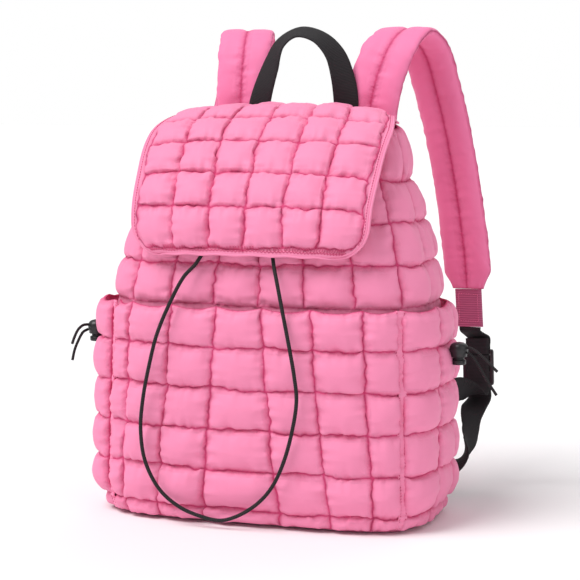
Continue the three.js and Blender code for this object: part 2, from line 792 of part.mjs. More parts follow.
function lowerWebbing() {
  const { level, folded } = foldInSlider(lowerSlotTop + sliderSlot, -1);
  const anchorOffset = backPuff + gap + webbingThickness / 2;
  const anchor = bodyPoint(anchorShare, anchorHeight, anchorOffset);
  const below = sliderLength / 2 + 5;
  const place = (row) =>
    vector(bodyHalfWidth * row.out, bodyHalfDepth + lowerReach * row.back, lowerReach * row.up);
  const rows = [
    { point: anchor.clone().add(vector(-16, 3.2, 0)), across: vector(0, 0, 1) },
    { point: anchor, across: vector(0, 0, 1) },
    ...lowerRun.map((row) => ({ point: place(row), across: row.across })),
    { point: inSlider(0, below + 8, level + 0.5), across: sliderAcross },
    { point: inSlider(0, below, level), across: sliderAcross },
  ];
  const looseAcross = vector(-0.1, -0.1, 1).normalize();
  const loose = [
    { point: inSlider(0, below - 3, -level), across: sliderAcross },
    { point: inSlider(0, below + 3, -level - 5), across: sliderAcross },
    ...looseRun.map((row) => ({ point: place(row), across: looseAcross })),
  ];
  const places = [
    ...alongCurve(rows, 16),
    ...folded.map((point) => ({ point, across: sliderAcross })),
    ...alongCurve(loose, 9),
  ];
  return foldedStrip(places, webbingWidth, webbingThickness);
}

// Cord locks, snaps and eyelets

// Where a round piece stands in front of a surface before it is moved back to it, and the direction it faces.
const standClear = 12;

function frontOf(share, height, radius) {
  const reach = radius / bodyGirth;
  const around = bodyPoint(share + reach, height, 0).sub(bodyPoint(share - reach, height, 0));
  const upward = bodyPoint(share, height + radius, 0).sub(bodyPoint(share, height - radius, 0));
  const facing = new THREE.Vector3().crossVectors(around, upward).normalize();
  return { place: bodyPoint(share, height, 0).addScaledVector(facing, standClear), facing };
}

// The least run along a direction from one geometry's corners to another geometry's faces.
function leastRun(from, onto, direction) {
  const target = new THREE.Mesh(onto, new THREE.MeshBasicMaterial({ side: THREE.DoubleSide }));
  const position = from.getAttribute('position');
  const caster = new THREE.Raycaster();
  let least = Infinity;
  for (let i = 0; i < position.count; i++) {
    caster.set(new THREE.Vector3().fromBufferAttribute(position, i), direction);
    const [hit] = caster.intersectObject(target);
    if (hit) least = Math.min(least, hit.distance);
  }
  return least;
}

// How far a piece has to move along a direction to stand a gap in front of what carries it.
function runToSeat(piece, carrier, direction) {
  const corners = leastRun(piece, carrier, direction);
  const facets = leastRun(carrier, piece, direction.clone().negate());
  return Math.min(corners, facets) - gap;
}

// A lathe solid seated on the body, with its axis outwards.
function lathedOn(profile, share, height, radius, body) {
  const { place, facing } = frontOf(share, height, radius);
  const turned = new THREE.LatheGeometry(profile, smallSides);
  turned.applyQuaternion(new THREE.Quaternion().setFromUnitVectors(vector(0, 1, 0), facing));
  turned.translate(place.x, place.y, place.z);
  const solid = outwards(mergeVertices(bare(turned), 1e-4));
  const inward = facing.clone().negate();
  const move = inward.clone().multiplyScalar(runToSeat(solid, body, inward));
  return solid.translate(move.x, move.y, move.z);
}

const point2 = (x, y) => new THREE.Vector2(x, y);
const smallSides = 10;
const eyeletHeight = baseSeamHeight + 7.5 * rowPitch;
const eyeletShare = eyeletSpacing / 2 / bodyGirth;

function drawcordEyelet(side, body) {
  const profile = [
    point2(eyeletHoleRadius, 0),
    point2(eyeletRadius, 0),
    point2(eyeletRadius * 0.92, eyeletThickness * 0.7),
    point2(eyeletRadius * 0.7, eyeletThickness),
    point2(eyeletHoleRadius, eyeletThickness * 0.8),
    point2(eyeletHoleRadius, 0),
  ];
  return lathedOn(profile, side * eyeletShare, eyeletHeight, eyeletRadius, body);
}

const snapShare = 0.155;
const snapHeight = 320;

function sideSnap(side, body) {
  const profile = [
    point2(0, 0),
    point2(snapRadius, 0),
    point2(snapRadius, snapThickness * 0.5),
    point2(snapRadius * 0.75, snapThickness),
    point2(snapRadius * 0.4, snapThickness * 0.7),
    point2(0, snapThickness * 0.7),
  ];
  return lathedOn(profile, side * snapShare, snapHeight, snapRadius, body);
}

const lockShareRight = 0.25;
const lockShareLeft = -0.222;
const barrelBottom = -lockBarrelHeight / 2;
const barrelTop = lockBarrelHeight / 2;
const lockSides = 10;

function standingLathe(profile, place) {
  const geometry = new THREE.LatheGeometry(profile, lockSides);
  geometry.rotateX(Math.PI / 2);
  geometry.translate(place.x, place.y, place.z);
  return outwards(mergeVertices(bare(geometry), 1e-4));
}

function lockBarrel(place) {
  const profile = [
    point2(0, barrelTop),
    point2(lockRadius * 0.55, barrelTop * 0.86),
    point2(lockRadius * 0.88, barrelTop * 0.45),
    point2(lockRadius, 0),
    point2(lockRadius * 0.93, barrelBottom * 0.6),
    point2(lockRadius * 0.85, barrelBottom),
    point2(plungerStemRadius + gap, barrelBottom),
    point2(plungerStemRadius + gap, barrelTop - lockWall - gap),
    point2(0, barrelTop - lockWall - gap),
  ];
  return standingLathe(profile, place);
}

// Where a lock's axis stands: seated on its side pocket, where the pocket's cord comes out of its channel.
function lockPlace(share, height, pocket) {
  const outward = bodyNormal(share, height);
  const place = bodyPoint(share, height, 5 * standClear);
  const inward = outward.clone().negate();
  return place.addScaledVector(inward, runToSeat(lockBarrel(place), pocket, inward));
}

function lockPlunger(place) {
  const capTop = barrelBottom - plungerTravel - gap;
  const stemTop = barrelTop - lockWall - 2 * gap - plungerTravel;
  const profile = [
    point2(0, stemTop),
    point2(plungerStemRadius, stemTop),
    point2(plungerStemRadius, capTop),
    point2(plungerCapRadius * 0.95, capTop),
    point2(plungerCapRadius, capTop - plungerCapHeight * 0.35),
    point2(plungerCapRadius * 0.8, capTop - plungerCapHeight * 0.8),
    point2(plungerCapRadius * 0.4, capTop - plungerCapHeight),
    point2(0, capTop - plungerCapHeight),
  ];
  return standingLathe(profile, place);
}

// Cords

function cordTube(points, diameter, steps) {
  const section = new THREE.Shape();
  const sides = 8;
  for (let i = 0; i < sides; i++) {
    const angle = (2 * Math.PI * i) / sides;
    const x = (Math.cos(angle) * diameter) / 2;
    const y = (Math.sin(angle) * diameter) / 2;
    if (i) section.lineTo(x, y);
    else section.moveTo(x, y);
  }
  section.closePath();
  const path = new THREE.CatmullRomCurve3(points.map((place) => vector(...place)), false, 'centripetal');
  const tube = new THREE.ExtrudeGeometry(section, { steps, extrudePath: path, bevelEnabled: false });
  return mergeVertices(bare(tube), 1e-4);
}

// The drawcord's route, chosen by hand: out of the left eyelet, down in a long loop and up to the right one.
const drawcordRoute = [
  [-9.5, -56.7, 313],
  [-9.9, -60.4, 314.2],
  [-11.4, -64.4, 312.4],
  [-13.8, -67.8, 306.5],
  [-17.5, -71.2, 298],
  [-24, -75.5, 286],
  [-34, -78, 274],
  [-43, -81.5, 262],
  [-50, -86, 250],
  [-59, -92, 239],
  [-72, -98.5, 212],
  [-84, -100.5, 183],
  [-92, -100, 154.5],
  [-99, -99.5, 122],
  [-102, -99, 91],
  [-97, -100, 60.5],
  [-82, -100, 34],
  [-62, -99, 18.5],
  [-41, -98, 11],
  [-22, -98, 8.4],
  [-7, -98.5, 12.5],
  [15, -100, 26],
  [31, -101.5, 43],
  [43, -102, 66.5],
  [52, -102, 97],
  [57, -102.5, 128],
  [55, -103, 150.5],
  [50, -103, 178],
  [42, -100, 212],
  [34, -93, 239],
  [29.5, -87, 250],
  [26, -82, 262],
  [22, -78, 274],
  [17.5, -75.5, 286],
  [13.8, -71.2, 298],
  [11.6, -67.4, 306],
  [10.3, -63.6, 311.6],
  [9.7, -59, 313.3],
  [9.5, -55, 312],
];

// The bare ends of the side pockets' cords, from the face of each lock, chosen by hand.
const pocketCordRoutes = {
  right_upper: [
    [192.6, 4.5, 170.2],
    [198.1, 3, 168.8],
    [206.1, 1, 163.8],
    [214.1, -1, 157.3],
    [223.1, -2, 149.3],
  ],
  right_lower: [
    [192.6, 4.5, 165.4],
    [198.1, 3, 161.3],
    [205.6, 1.5, 151.3],
    [213.6, 0, 138.8],
    [222.6, -2, 126.8],
  ],
  left_upper: [
    [-192.3, -24.6, 180],
    [-195.1, -30.2, 179.8],
    [-197.1, -37.2, 176.3],
    [-197.6, -44.2, 170.3],
    [-197.1, -51.2, 163.8],
  ],
  left_lower: [
    [-192.3, -24.6, 175.2],
    [-195.6, -29.2, 172.8],
    [-198.6, -34.2, 164.8],
    [-200.6, -39.2, 155.3],
    [-201.1, -43.2, 145.8],
  ],
};

const body = bodyShell();
const pockets = { right: sidePocket(1, rightSpread), left: sidePocket(-1, leftSpread) };
addPiece('bag_shell', body, pinkCloth);
addPiece('front_pocket', frontPocket(), pinkCloth);
addPiece('side_pocket_right', pockets.right, pinkCloth);
addPiece('side_pocket_left', pockets.left, pinkCloth);
addPiece('flap', flap(), pinkCloth);
addPiece('haul_handle', haulHandle(), blackWebbing);

addPiece('shoulder_strap_right', shoulderStrap('right'), pinkCloth);
addPiece('shoulder_strap_left', mirrored(shoulderStrap('left')), pinkCloth);

const sidePieces = [
  { name: 'strap_tab', geometry: strapTab(), material: pinkWebbing },
  { name: 'upper_webbing', geometry: upperWebbing(), material: blackWebbing },
  { name: 'strap_slider', geometry: strapSlider(), material: blackPlastic },
  { name: 'lower_webbing', geometry: lowerWebbing(), material: blackWebbing },
];
for (const { name, geometry, material } of sidePieces) {
  addPiece(`${name}_right`, geometry, material);
  addPiece(`${name}_left`, mirrored(geometry), material);
}

const lockPlaces = {
  right: lockPlace(lockShareRight, lockHeightRight, pockets.right),
  left: lockPlace(lockShareLeft, lockHeightLeft, pockets.left),
};
for (const [name, side] of [['right', 1], ['left', -1]]) {
  addPiece(`drawcord_eyelet_${name}`, drawcordEyelet(side, body), blackPlastic);
  addPiece(`side_snap_${name}`, sideSnap(side, body), pinkPlastic);
  addPiece(`cord_lock_barrel_${name}`, lockBarrel(lockPlaces[name]), blackPlastic);
  addPiece(`cord_lock_plunger_${name}`, lockPlunger(lockPlaces[name]), blackPlastic);
}

addPiece('drawcord', cordTube(drawcordRoute, drawcordDiameter, 52), blackCord);
for (const [name, route] of Object.entries(pocketCordRoutes)) {
  addPiece(`pocket_cord_${name}`, cordTube(route, pocketCordDiameter, 6), blackCord);
}

export default backpack;
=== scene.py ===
"""Quilted puffer backpack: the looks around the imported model, in metres, front towards -Y, Z up."""
import logging
import math
from dataclasses import dataclass, field, replace
from enum import Enum
from typing import Callable, Sequence

import bmesh
import bpy
from mathutils import Matrix, Vector, noise

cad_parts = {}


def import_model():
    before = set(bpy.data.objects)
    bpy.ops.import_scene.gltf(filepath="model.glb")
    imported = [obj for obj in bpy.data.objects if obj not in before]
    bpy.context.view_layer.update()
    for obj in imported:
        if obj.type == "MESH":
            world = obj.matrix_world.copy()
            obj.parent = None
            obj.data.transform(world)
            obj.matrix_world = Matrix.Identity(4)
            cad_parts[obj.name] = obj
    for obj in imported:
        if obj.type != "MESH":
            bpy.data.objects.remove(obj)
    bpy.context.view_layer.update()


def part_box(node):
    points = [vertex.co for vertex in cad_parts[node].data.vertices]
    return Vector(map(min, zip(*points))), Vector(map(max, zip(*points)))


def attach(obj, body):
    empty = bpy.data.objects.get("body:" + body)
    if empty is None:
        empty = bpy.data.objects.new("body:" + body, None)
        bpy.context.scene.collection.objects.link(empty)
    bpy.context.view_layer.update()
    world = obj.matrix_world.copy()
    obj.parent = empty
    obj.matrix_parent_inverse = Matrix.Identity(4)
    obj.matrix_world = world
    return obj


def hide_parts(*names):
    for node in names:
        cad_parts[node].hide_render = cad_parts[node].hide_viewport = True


Piece = bpy.types.Object
Tree = bpy.types.NodeTree
Socket = bpy.types.NodeSocket
Value = Socket | float
Triple = tuple[float, float, float]
Profile = tuple[tuple[float, float], ...]
Rows = Sequence[tuple[Vector, Vector]]

log = logging.getLogger("backpack")
GAP = 0.0003
WANDER_SEED = 5


class Slot(Enum):
    """The record's material slots."""

    PINK_CLOTH = "pink_cloth"
    PINK_WEBBING = "pink_webbing"
    BLACK_WEBBING = "black_webbing"
    BLACK_CORD = "black_cord"
    BLACK_PLASTIC = "black_plastic"
    PINK_PLASTIC = "pink_plastic"


class Side(Enum):
    """The bag's sides as seen from the front, with the sign of X there."""

    LEFT = -1
    RIGHT = 1

    @property
    def word(self) -> str:
        """The side's name in the names of nodes."""
        return self.name.lower()


# Small helpers


def smooth(value: float) -> float:
    """A soft step from 0 to 1."""
    part = min(1.0, max(0.0, value))
    return part * part * (3 - 2 * part)


def mix(low: float, high: float, part: float) -> float:
    """The value a part of the way from low to high."""
    return low + (high - low) * part


def lines_between(start: float, end: float, pitch: float, phase: float) -> list[float]:
    """Stitch lines of a regular pitch between two ends, without slivers at the ends.

    Args:
        start: The first line.
        end: The last line.
        pitch: The distance from line to line.
        phase: Where the regular lines start, as a share of the pitch.

    Returns:
        The places of the lines.
    """
    sliver = 0.3 * pitch
    lines = [start]
    step = math.ceil(start / pitch - phase)
    while (step + phase) * pitch < end - sliver:
        if (step + phase) * pitch > start + sliver:
            lines.append((step + phase) * pitch)
        step += 1
    lines.append(end)
    return lines


def fine_points(rows: Sequence[Vector]) -> list[Vector]:
    """A centripetal curve through rows.

    Args:
        rows: The points that the curve passes.

    Returns:
        24 points for each stretch, and the last row.
    """
    padded = [rows[0] * 2 - rows[1], *rows, rows[-1] * 2 - rows[-2]]
    fine: list[Vector] = []
    for low in range(len(rows) - 1):
        p0, p1, p2, p3 = padded[low : low + 4]
        t1 = max((p1 - p0).length, 1e-9) ** 0.5
        t2 = t1 + max((p2 - p1).length, 1e-9) ** 0.5
        t3 = t2 + max((p3 - p2).length, 1e-9) ** 0.5
        for k in range(24):
            t = mix(t1, t2, k / 24)
            a1 = p0.lerp(p1, t / t1)
            a2 = p1.lerp(p2, (t - t1) / (t2 - t1))
            a3 = p2.lerp(p3, (t - t2) / (t3 - t2))
            b1 = a1.lerp(a2, t / t2)
            b2 = a2.lerp(a3, (t - t1) / (t3 - t1))
            fine.append(b1.lerp(b2, (t - t1) / (t2 - t1)))
    fine.append(rows[-1].copy())
    return fine


def even_points(line: Sequence[Vector], count: int) -> list[Vector]:
    """Points at even lengths along a polyline.

    Args:
        line: The polyline.
        count: How many points to give back.

    Returns:
        The points, with both ends.
    """
    lengths = [0.0]
    for before, after in zip(line, line[1:]):
        lengths.append(lengths[-1] + (after - before).length)
    places = []
    low = 0
    for k in range(count):
        want = lengths[-1] * k / (count - 1)
        while low < len(line) - 2 and lengths[low + 1] < want:
            low += 1
        part = (want - lengths[low]) / max(lengths[low + 1] - lengths[low], 1e-12)
        places.append(line[low].lerp(line[low + 1], min(1.0, part)))
    return places


def length_of(line: Sequence[Vector]) -> float:
    """The length of a polyline."""
    return sum((after - before).length for before, after in zip(line, line[1:]))


def run_at(line: Sequence[Vector], k: int) -> Vector:
    """The way along a polyline at one of its points."""
    return (line[min(k + 1, len(line) - 1)] - line[max(k - 1, 0)]).normalized()


def new_object(name: str, shape: bmesh.types.BMesh) -> Piece:
    """Makes an object of a bmesh and frees the bmesh.

    Args:
        name: The piece's name.
        shape: The finished bmesh.

    Returns:
        The object, at the origin, with smooth faces.
    """
    plain = name.replace(" ", "_")
    mesh = bpy.data.meshes.new(plain)
    shape.to_mesh(mesh)
    shape.free()
    piece = bpy.data.objects.new(plain, mesh)
    bpy.context.collection.objects.link(piece)
    mesh.shade_smooth()
    return piece


def close_ends(piece: Piece) -> None:
    """Fills the open ends of a tube with flat triangles and turns its faces outwards."""
    shape = bmesh.new()
    shape.from_mesh(piece.data)
    ends = [edge for edge in shape.edges if edge.is_boundary]
    filled = bmesh.ops.holes_fill(shape, edges=ends, sides=0)
    bmesh.ops.triangulate(shape, faces=filled["faces"])
    bmesh.ops.recalc_face_normals(shape, faces=shape.faces)
    shape.to_mesh(piece.data)
    shape.free()


def subdivide(piece: Piece) -> None:
    """Adds one subdivision, the same in view and render."""
    modifier = piece.modifiers.new("smoothing", "SUBSURF")
    modifier.levels = 1
    modifier.render_levels = 1


def thicken(piece: Piece, thickness: float) -> None:
    """Gives a layer its thickness, inwards."""
    wall = piece.modifiers.new("wall", "SOLIDIFY")
    wall.thickness = thickness
    wall.offset = -1


def soften(piece: Piece, width: float, segments: int, degrees: float) -> None:
    """Bevels the edges that turn more than an angle.

    Args:
        piece: The piece.
        width: The bevel's width.
        segments: How many faces it has across.
        degrees: The least angle of an edge that gets it.
    """
    edge = piece.modifiers.new("edge", "BEVEL")
    edge.width = width
    edge.segments = segments
    edge.limit_method = "ANGLE"
    edge.angle_limit = math.radians(degrees)


# The body's form, as the solids have it


@dataclass(frozen=True)
class Section:
    """One level section of the body, with its sizes as shares."""

    height: float
    width: float
    front: float
    back: float
    square: float


@dataclass
class BodyForm:
    """The smooth body that every quilted layer follows."""

    height: float = 0.368
    half_width: float = 0.158
    half_depth: float = 0.078
    base_seam: float = 0.017
    rows: int = 9
    pocket_rows: int = 5
    columns: int = 18
    phase: float = 0.24
    rim_rise: float = 0.019
    back_square: float = 4.6
    steps: int = 720
    sections: tuple[Section, ...] = (
        Section(0.0, 0.945, 0.93, 0.94, 4.4),
        Section(0.011, 0.975, 0.96, 0.965, 4.3),
        Section(0.046, 0.995, 0.98, 0.98, 4.2),
        Section(0.15, 1.0, 0.99, 0.99, 3.8),
        Section(0.36, 1.0, 1.0, 1.0, 3.3),
        Section(0.576, 0.995, 1.01, 1.0, 3.0),
        Section(0.682, 0.96, 0.95, 1.0, 2.9),
        Section(0.788, 0.885, 0.79, 0.99, 2.8),
        Section(0.894, 0.79, 0.5, 0.975, 2.7),
        Section(1.0, 0.71, 0.1, 0.96, 2.6),
    )
    table: list[float] = field(default_factory=list)

    def __post_init__(self) -> None:
        """Measures the outline at the pocket's top."""
        section = self.section_at(self.pocket_top)
        lengths = [0.0]
        last = self.outline(section, 0.0)[0]
        for step in range(1, self.steps + 1):
            place = self.outline(section, 2 * math.pi * step / self.steps)[0]
            lengths.append(lengths[-1] + (place - last).length)
            last = place
        self.table = lengths

    @property
    def pitch(self) -> float:
        """The height of one row of cells."""
        return (self.height - self.base_seam) / self.rows

    @property
    def pocket_top(self) -> float:
        """The height of the pockets' rim."""
        return self.base_seam + self.pocket_rows * self.pitch

    @property
    def girth(self) -> float:
        """The length round the body at the pockets' rim."""
        return self.table[-1]

    def section_at(self, height: float) -> tuple[float, float, float, float]:
        """The section at a height.

        Args:
            height: The height above the floor.

        Returns:
            Half width, centre in Y, half depth and the squareness of the front corners.
        """
        share = min(1.0, max(0.0, height / self.height))
        low, high = self.sections[0], self.sections[1]
        for before, after in zip(self.sections, self.sections[1:]):
            low, high = before, after
            if share <= after.height:
                break
        part = (share - low.height) / (high.height - low.height)
        front = -self.half_depth * mix(low.front, high.front, part)
        back = self.half_depth * mix(low.back, high.back, part)
        width = self.half_width * mix(low.width, high.width, part)
        return width, (front + back) / 2, (back - front) / 2, mix(low.square, high.square, part)

    def outline(self, section: tuple[float, float, float, float], angle: float) -> tuple[Vector, Vector]:
        """A point of a section and its outward normal.

        Args:
            section: What section_at gives.
            angle: 0 in front, a quarter turn on the right.

        Returns:
            The point and the normal, both level.
        """
        width, centre, depth, front_square = section
        sine, cosine = math.sin(angle), math.cos(angle)
        square = front_square if cosine > 0 else self.back_square
        power = mix((front_square + self.back_square) / 2, square, smooth(abs(cosine) * 3))
        x = math.copysign(abs(sine) ** (2 / power), sine)
        y = -math.copysign(abs(cosine) ** (2 / power), cosine)
        slope = Vector(
            (
                math.copysign(abs(x) ** (power - 1), x) / width,
                math.copysign(abs(y) ** (power - 1), y) / depth,
                0.0,
            )
        )
        return Vector((width * x, centre + depth * y, 0.0)), slope.normalized()

    def angle_at(self, share: float) -> float:
        """The angle at a share of the way round."""
        length = (share - math.floor(share)) * self.girth
        low, high = 0, self.steps
        while high - low > 1:
            middle = (low + high) // 2
            if self.table[middle] <= length:
                low = middle
            else:
                high = middle
        part = (length - self.table[low]) / (self.table[low + 1] - self.table[low])
        return 2 * math.pi * (low + part) / self.steps

    def point(self, share: float, height: float, offset: float) -> Vector:
        """A point on the body.

        Args:
            share: The share of the way round, 0 in front and 0.25 on the right.
            height: The height before the back of the mouth is lifted.
            offset: How far outwards.

        Returns:
            The point.
        """
        place, normal = self.outline(self.section_at(height), self.angle_at(share))
        backness = 0.5 - 0.5 * math.cos(2 * math.pi * share)
        part = min(1.0, max(0.0, (height - self.height + self.pitch) / self.pitch))
        lift = self.rim_rise * backness * part
        return place + normal * offset + Vector((0.0, 0.0, height + lift))

    def normal(self, share: float, height: float) -> Vector:
        """The outward direction there, from points nearby."""
        step = 0.004
        turn = step / self.girth
        around = self.point(share + turn, height, 0) - self.point(share - turn, height, 0)
        low, high = max(0.0, height - step), min(self.height, height + step)
        upward = self.point(share, high, 0) - self.point(share, low, 0)
        return around.cross(upward).normalized()

    def row_lines(self, first: int, last: int) -> list[float]:
        """The heights of the level stitch lines from one row to another."""
        return [self.base_seam + k * self.pitch for k in range(first, last + 1)]


BODY = BodyForm()


# Quilted cloth


@dataclass(frozen=True)
class Stop:
    """A place on one of the two ways across a quilted layer."""

    at: float
    swell: float = 0.0
    inset: float = 0.0
    sewn: bool = True
    wavy: bool = True
    near: float = 0.0
    run: float = 0.0
    cell: int = 0
    line: int = 0


def stops(lines: Sequence[float], size: float, step: float) -> list[Stop]:
    """The stops from stitch line to stitch line.

    Args:
        lines: The places of the stitch lines.
        size: The length in metres of one unit of place.
        step: The wanted length from stop to stop.

    Returns:
        The stops, each with its swell: 0 on a line, 1 in the middle of a full cell.
    """
    made = []
    widest = max(after - before for before, after in zip(lines, lines[1:]))
    for cell, (before, after) in enumerate(zip(lines, lines[1:])):
        width = (after - before) * size
        count = max(3, round(width / step))
        fullness = min(1.0, math.sqrt((after - before) / widest))
        for k in range(count):
            share = k / count
            near = min(share, 1 - share) * width
            swell = fullness * math.sin(math.pi * share)
            at, sewn = mix(before, after, share), k == 0
            made.append(Stop(at, swell, 0.0, sewn, sewn, near, at * size, cell, cell + (share > 0.5)))
    made.append(Stop(lines[-1]))
    return made


def bound(line: list[Stop]) -> list[Stop]:
    """The same stops, with straight edges at both ends."""
    return [Stop(line[0].at, wavy=False), *line[1:-1], Stop(line[-1].at, wavy=False)]


@dataclass
class Quilt:
    """One layer of quilted cloth, puffed by a cloth simulation between its sewn lines."""

    name: str
    columns: list[Stop]
    rows: list[Stop]
    place: Callable[[float, float, float], Vector]
    facing: Callable[[float, float], Vector]
    loft: Callable[[float, float], float]
    closed: bool = False
    wave: float = 0.0042
    seam_drop: float = 0.0022
    full_loft: float = 0.0085
    pucker: float = 0.0046
    sag: float = 0.25
    fold_start: float = 0.0022
    fold_reach: float = 0.0065
    folds_per_metre: float = 185.0
    crease_reach: float = 0.0045
    unevenness: float = 0.5
    waves: tuple[float, float] = (165.0, 24.0)

    def gather(self, column: Stop, row: Stop) -> float:
        """The short folds that run away from the sewn lines, from about -0.5 to 0.5."""
        total = 0.0
        for one, other, seed in ((column, row, 1.7), (row, column, 9.2)):
            fade = min(1.0, other.near / self.fold_start) * math.exp(-other.near / self.fold_reach)
            lane = other.line * 5.1 + (other.cell == other.line) * 2.3
            place = Vector((one.run * self.folds_per_metre, lane, seed))
            total += fade * (noise.noise(place) + 0.5 * noise.noise(place * 0.45))
        return total

    def build(self) -> Piece:
        """Lays a grid on the surface, with its groups for sewing and fullness.

        Returns:
            The piece before the simulation.
        """
        across, along = len(self.columns) - 1, len(self.rows) - 1
        shape = bmesh.new()
        bmesh.ops.create_grid(shape, x_segments=across, y_segments=along, size=0.5)
        groups = shape.verts.layers.deform.verify()
        crease = shape.verts.layers.float.new("crease")
        pucker = shape.verts.layers.float.new("pucker")
        for vert in shape.verts:
            column = self.columns[round((vert.co.x + 0.5) * across)]
            row = self.rows[round((vert.co.y + 0.5) * along)]
            full = min(1.0, self.loft(column.at, row.at) / self.full_loft)
            sewn = column.sewn or row.sewn or full < 0.15
            vert[groups][0] = 1.0 if sewn else 0.0
            vert[groups][1] = full
            # crease is highest on the sewn lines; it drives the fold bump and the painted seam shade.
            vert[crease] = max(0.0, 1 - min(column.near, row.near) / self.crease_reach) * min(1.0, full * 2)
            vert[pucker] = 0.0 if sewn else self.pucker * full * self.gather(column, row)
            vert.co = self.set_point(column, row, full)
        if self.closed:
            bmesh.ops.remove_doubles(shape, verts=shape.verts, dist=1e-6)
        return self.finish_grid(shape)

    def set_point(self, column: Stop, row: Stop, full: float) -> Vector:
        """The place of one vertex before the simulation.

        Args:
            column: The stop across.
            row: The stop along.
            full: How full the cell is, from 0 to 1.

        Returns:
            The place.
        """
        cell = Vector((column.cell * 3.7 + 0.5, row.cell * 5.3 + 0.2, 7.0))
        uneven = 1 + self.unevenness * noise.noise(cell)
        stand = self.loft(column.at, row.at) * uneven * (column.swell * row.swell) ** 0.55
        drop = self.seam_drop * full if (column.sewn or row.sewn) else 0.0
        inset = row.inset + column.inset
        point = self.place(column.at, row.at, stand - inset - drop)
        point.z -= self.sag * stand
        lines = [stop for stop in (column, row) if stop.sewn]
        if lines and all(stop.wavy for stop in lines):
            point += self.waver(point, column, row, full)
        return point

    def waver(self, point: Vector, column: Stop, row: Stop, full: float) -> Vector:
        """The small wander of a sewn line across its own way.

        Args:
            point: The place on the line.
            column: The stop across.
            row: The stop along.
            full: How full the cells beside it are.

        Returns:
            The shift.
        """
        facing = self.facing(column.at, row.at)
        quick_wave = noise.noise_vector(point * self.waves[0] + Vector((3.1, 7.7, 1.3)))
        slow_wave = noise.noise_vector(point * self.waves[1] + Vector((9.1, 2.7, 5.3)))
        shift = (quick_wave * 0.85 + slow_wave * 1.2) * self.wave
        return (shift - facing * shift.dot(facing) * 0.4) * max(0.25, full)

    def finish_grid(self, shape: bmesh.types.BMesh) -> Piece:
        """Turns the faces outwards and makes the object with its groups."""
        shape.normal_update()
        across = self.columns[len(self.columns) // 2].at
        along = self.rows[len(self.rows) // 2].at
        centre = self.place(across, along, 0.0)
        middle = min(shape.faces, key=lambda face: (face.calc_center_median() - centre).length)
        if middle.normal.dot(self.facing(across, along)) < 0:
            bmesh.ops.reverse_faces(shape, faces=shape.faces)
        piece = new_object(self.name, shape)
        piece.vertex_groups.new(name="sewn")
        piece.vertex_groups.new(name="full")
        return piece


@dataclass
class PuffingTable:
    """Puffs every sewn layer at once with Blender's cloth."""

    frames: int = 20
    pressure: float = 500.0
    growth: float = 0.27
    cap: float = 0.0085
    quality: int = 6
    mass: float = 0.1
    stretch: float = 15.0
    shear: float = 7.5
    bend: float = 1.0
    damping: float = 5.0
    pieces: list[Piece] = field(default_factory=list)

    def lay(self, piece: Piece, growth: float | None = None, pressure: float | None = None) -> None:
        """Adds a layer that has the groups sewn and full.

        Args:
            piece: The layer.
            growth: How much longer the cloth is than its seams, if not the usual.
            pressure: The push of the filling, if not the usual.
        """
        cloth = piece.modifiers.new("cloth", "CLOTH")
        settings = cloth.settings
        settings.quality = self.quality
        settings.mass = self.mass
        settings.tension_stiffness = self.stretch
        settings.compression_stiffness = self.stretch
        settings.shear_stiffness = self.shear
        settings.bending_stiffness = self.bend
        for kind in ("air", "tension", "compression", "shear"):
            setattr(settings, f"{kind}_damping", self.damping)
        settings.vertex_group_mass = "sewn"
        settings.pin_stiffness = 1
        settings.vertex_group_shrink = "full"
        settings.shrink_min = 0.0
        settings.shrink_max = -(self.growth if growth is None else growth)
        settings.use_pressure = True
        settings.uniform_pressure_force = self.pressure if pressure is None else pressure
        settings.vertex_group_pressure = "full"
        settings.effector_weights.gravity = 0
        cloth.collision_settings.use_collision = False
        cloth.collision_settings.use_self_collision = False
        cloth.point_cache.frame_end = self.frames + 1
        self.pieces.append(piece)

    def run(self) -> None:
        """Steps the simulation and keeps its result in the meshes."""
        for frame in range(1, self.frames + 1):
            bpy.context.scene.frame_set(frame)
        for piece in self.pieces:
            before = [vert.co.copy() for vert in piece.data.vertices]
            graph = bpy.context.evaluated_depsgraph_get()
            puffed = bpy.data.meshes.new_from_object(piece.evaluated_get(graph))
            piece.modifiers.clear()
            old, name = piece.data, piece.data.name
            piece.data = puffed
            bpy.data.meshes.remove(old)
            puffed.name = name
            for vert, start in zip(puffed.vertices, before):
                move = vert.co - start
                if move.length > self.cap:
                    vert.co = start + move * (self.cap / move.length)
            puffed.update()
            gathers = puffed.attributes.get("pucker")
            outward = [vert.normal.copy() for vert in puffed.vertices]
            for vert, gather, normal in zip(puffed.vertices, gathers.data, outward):
                vert.co += normal * gather.value
                vert.co.z = max(vert.co.z, 0.0)
            puffed.shade_smooth()
        bpy.context.scene.frame_set(1)


# Tubes, ribbons and turned pieces


def spline_frames(rows: Rows, count: int) -> tuple[list[Vector], list[Vector]]:
    """Points at even lengths along a curve, with the way across a flat piece at each.

    Args:
        rows: The points that the curve passes, each with the way across.
        count: How many points to give back.

    Returns:
        The points and the ways across.
    """
    points = [row[0] for row in rows]
    fine = fine_points(points)
    line = even_points(fine, count)
    across = []
    low = 0
    for point in line:
        while low < len(fine) - 2 and (fine[low + 1] - point).length < (fine[low] - point).length:
            low += 1
        place = low / 24
        first = min(int(place), len(rows) - 2)
        across.append(rows[first][1].lerp(rows[first + 1][1], min(1.0, place - first)).normalized())
    return line, across


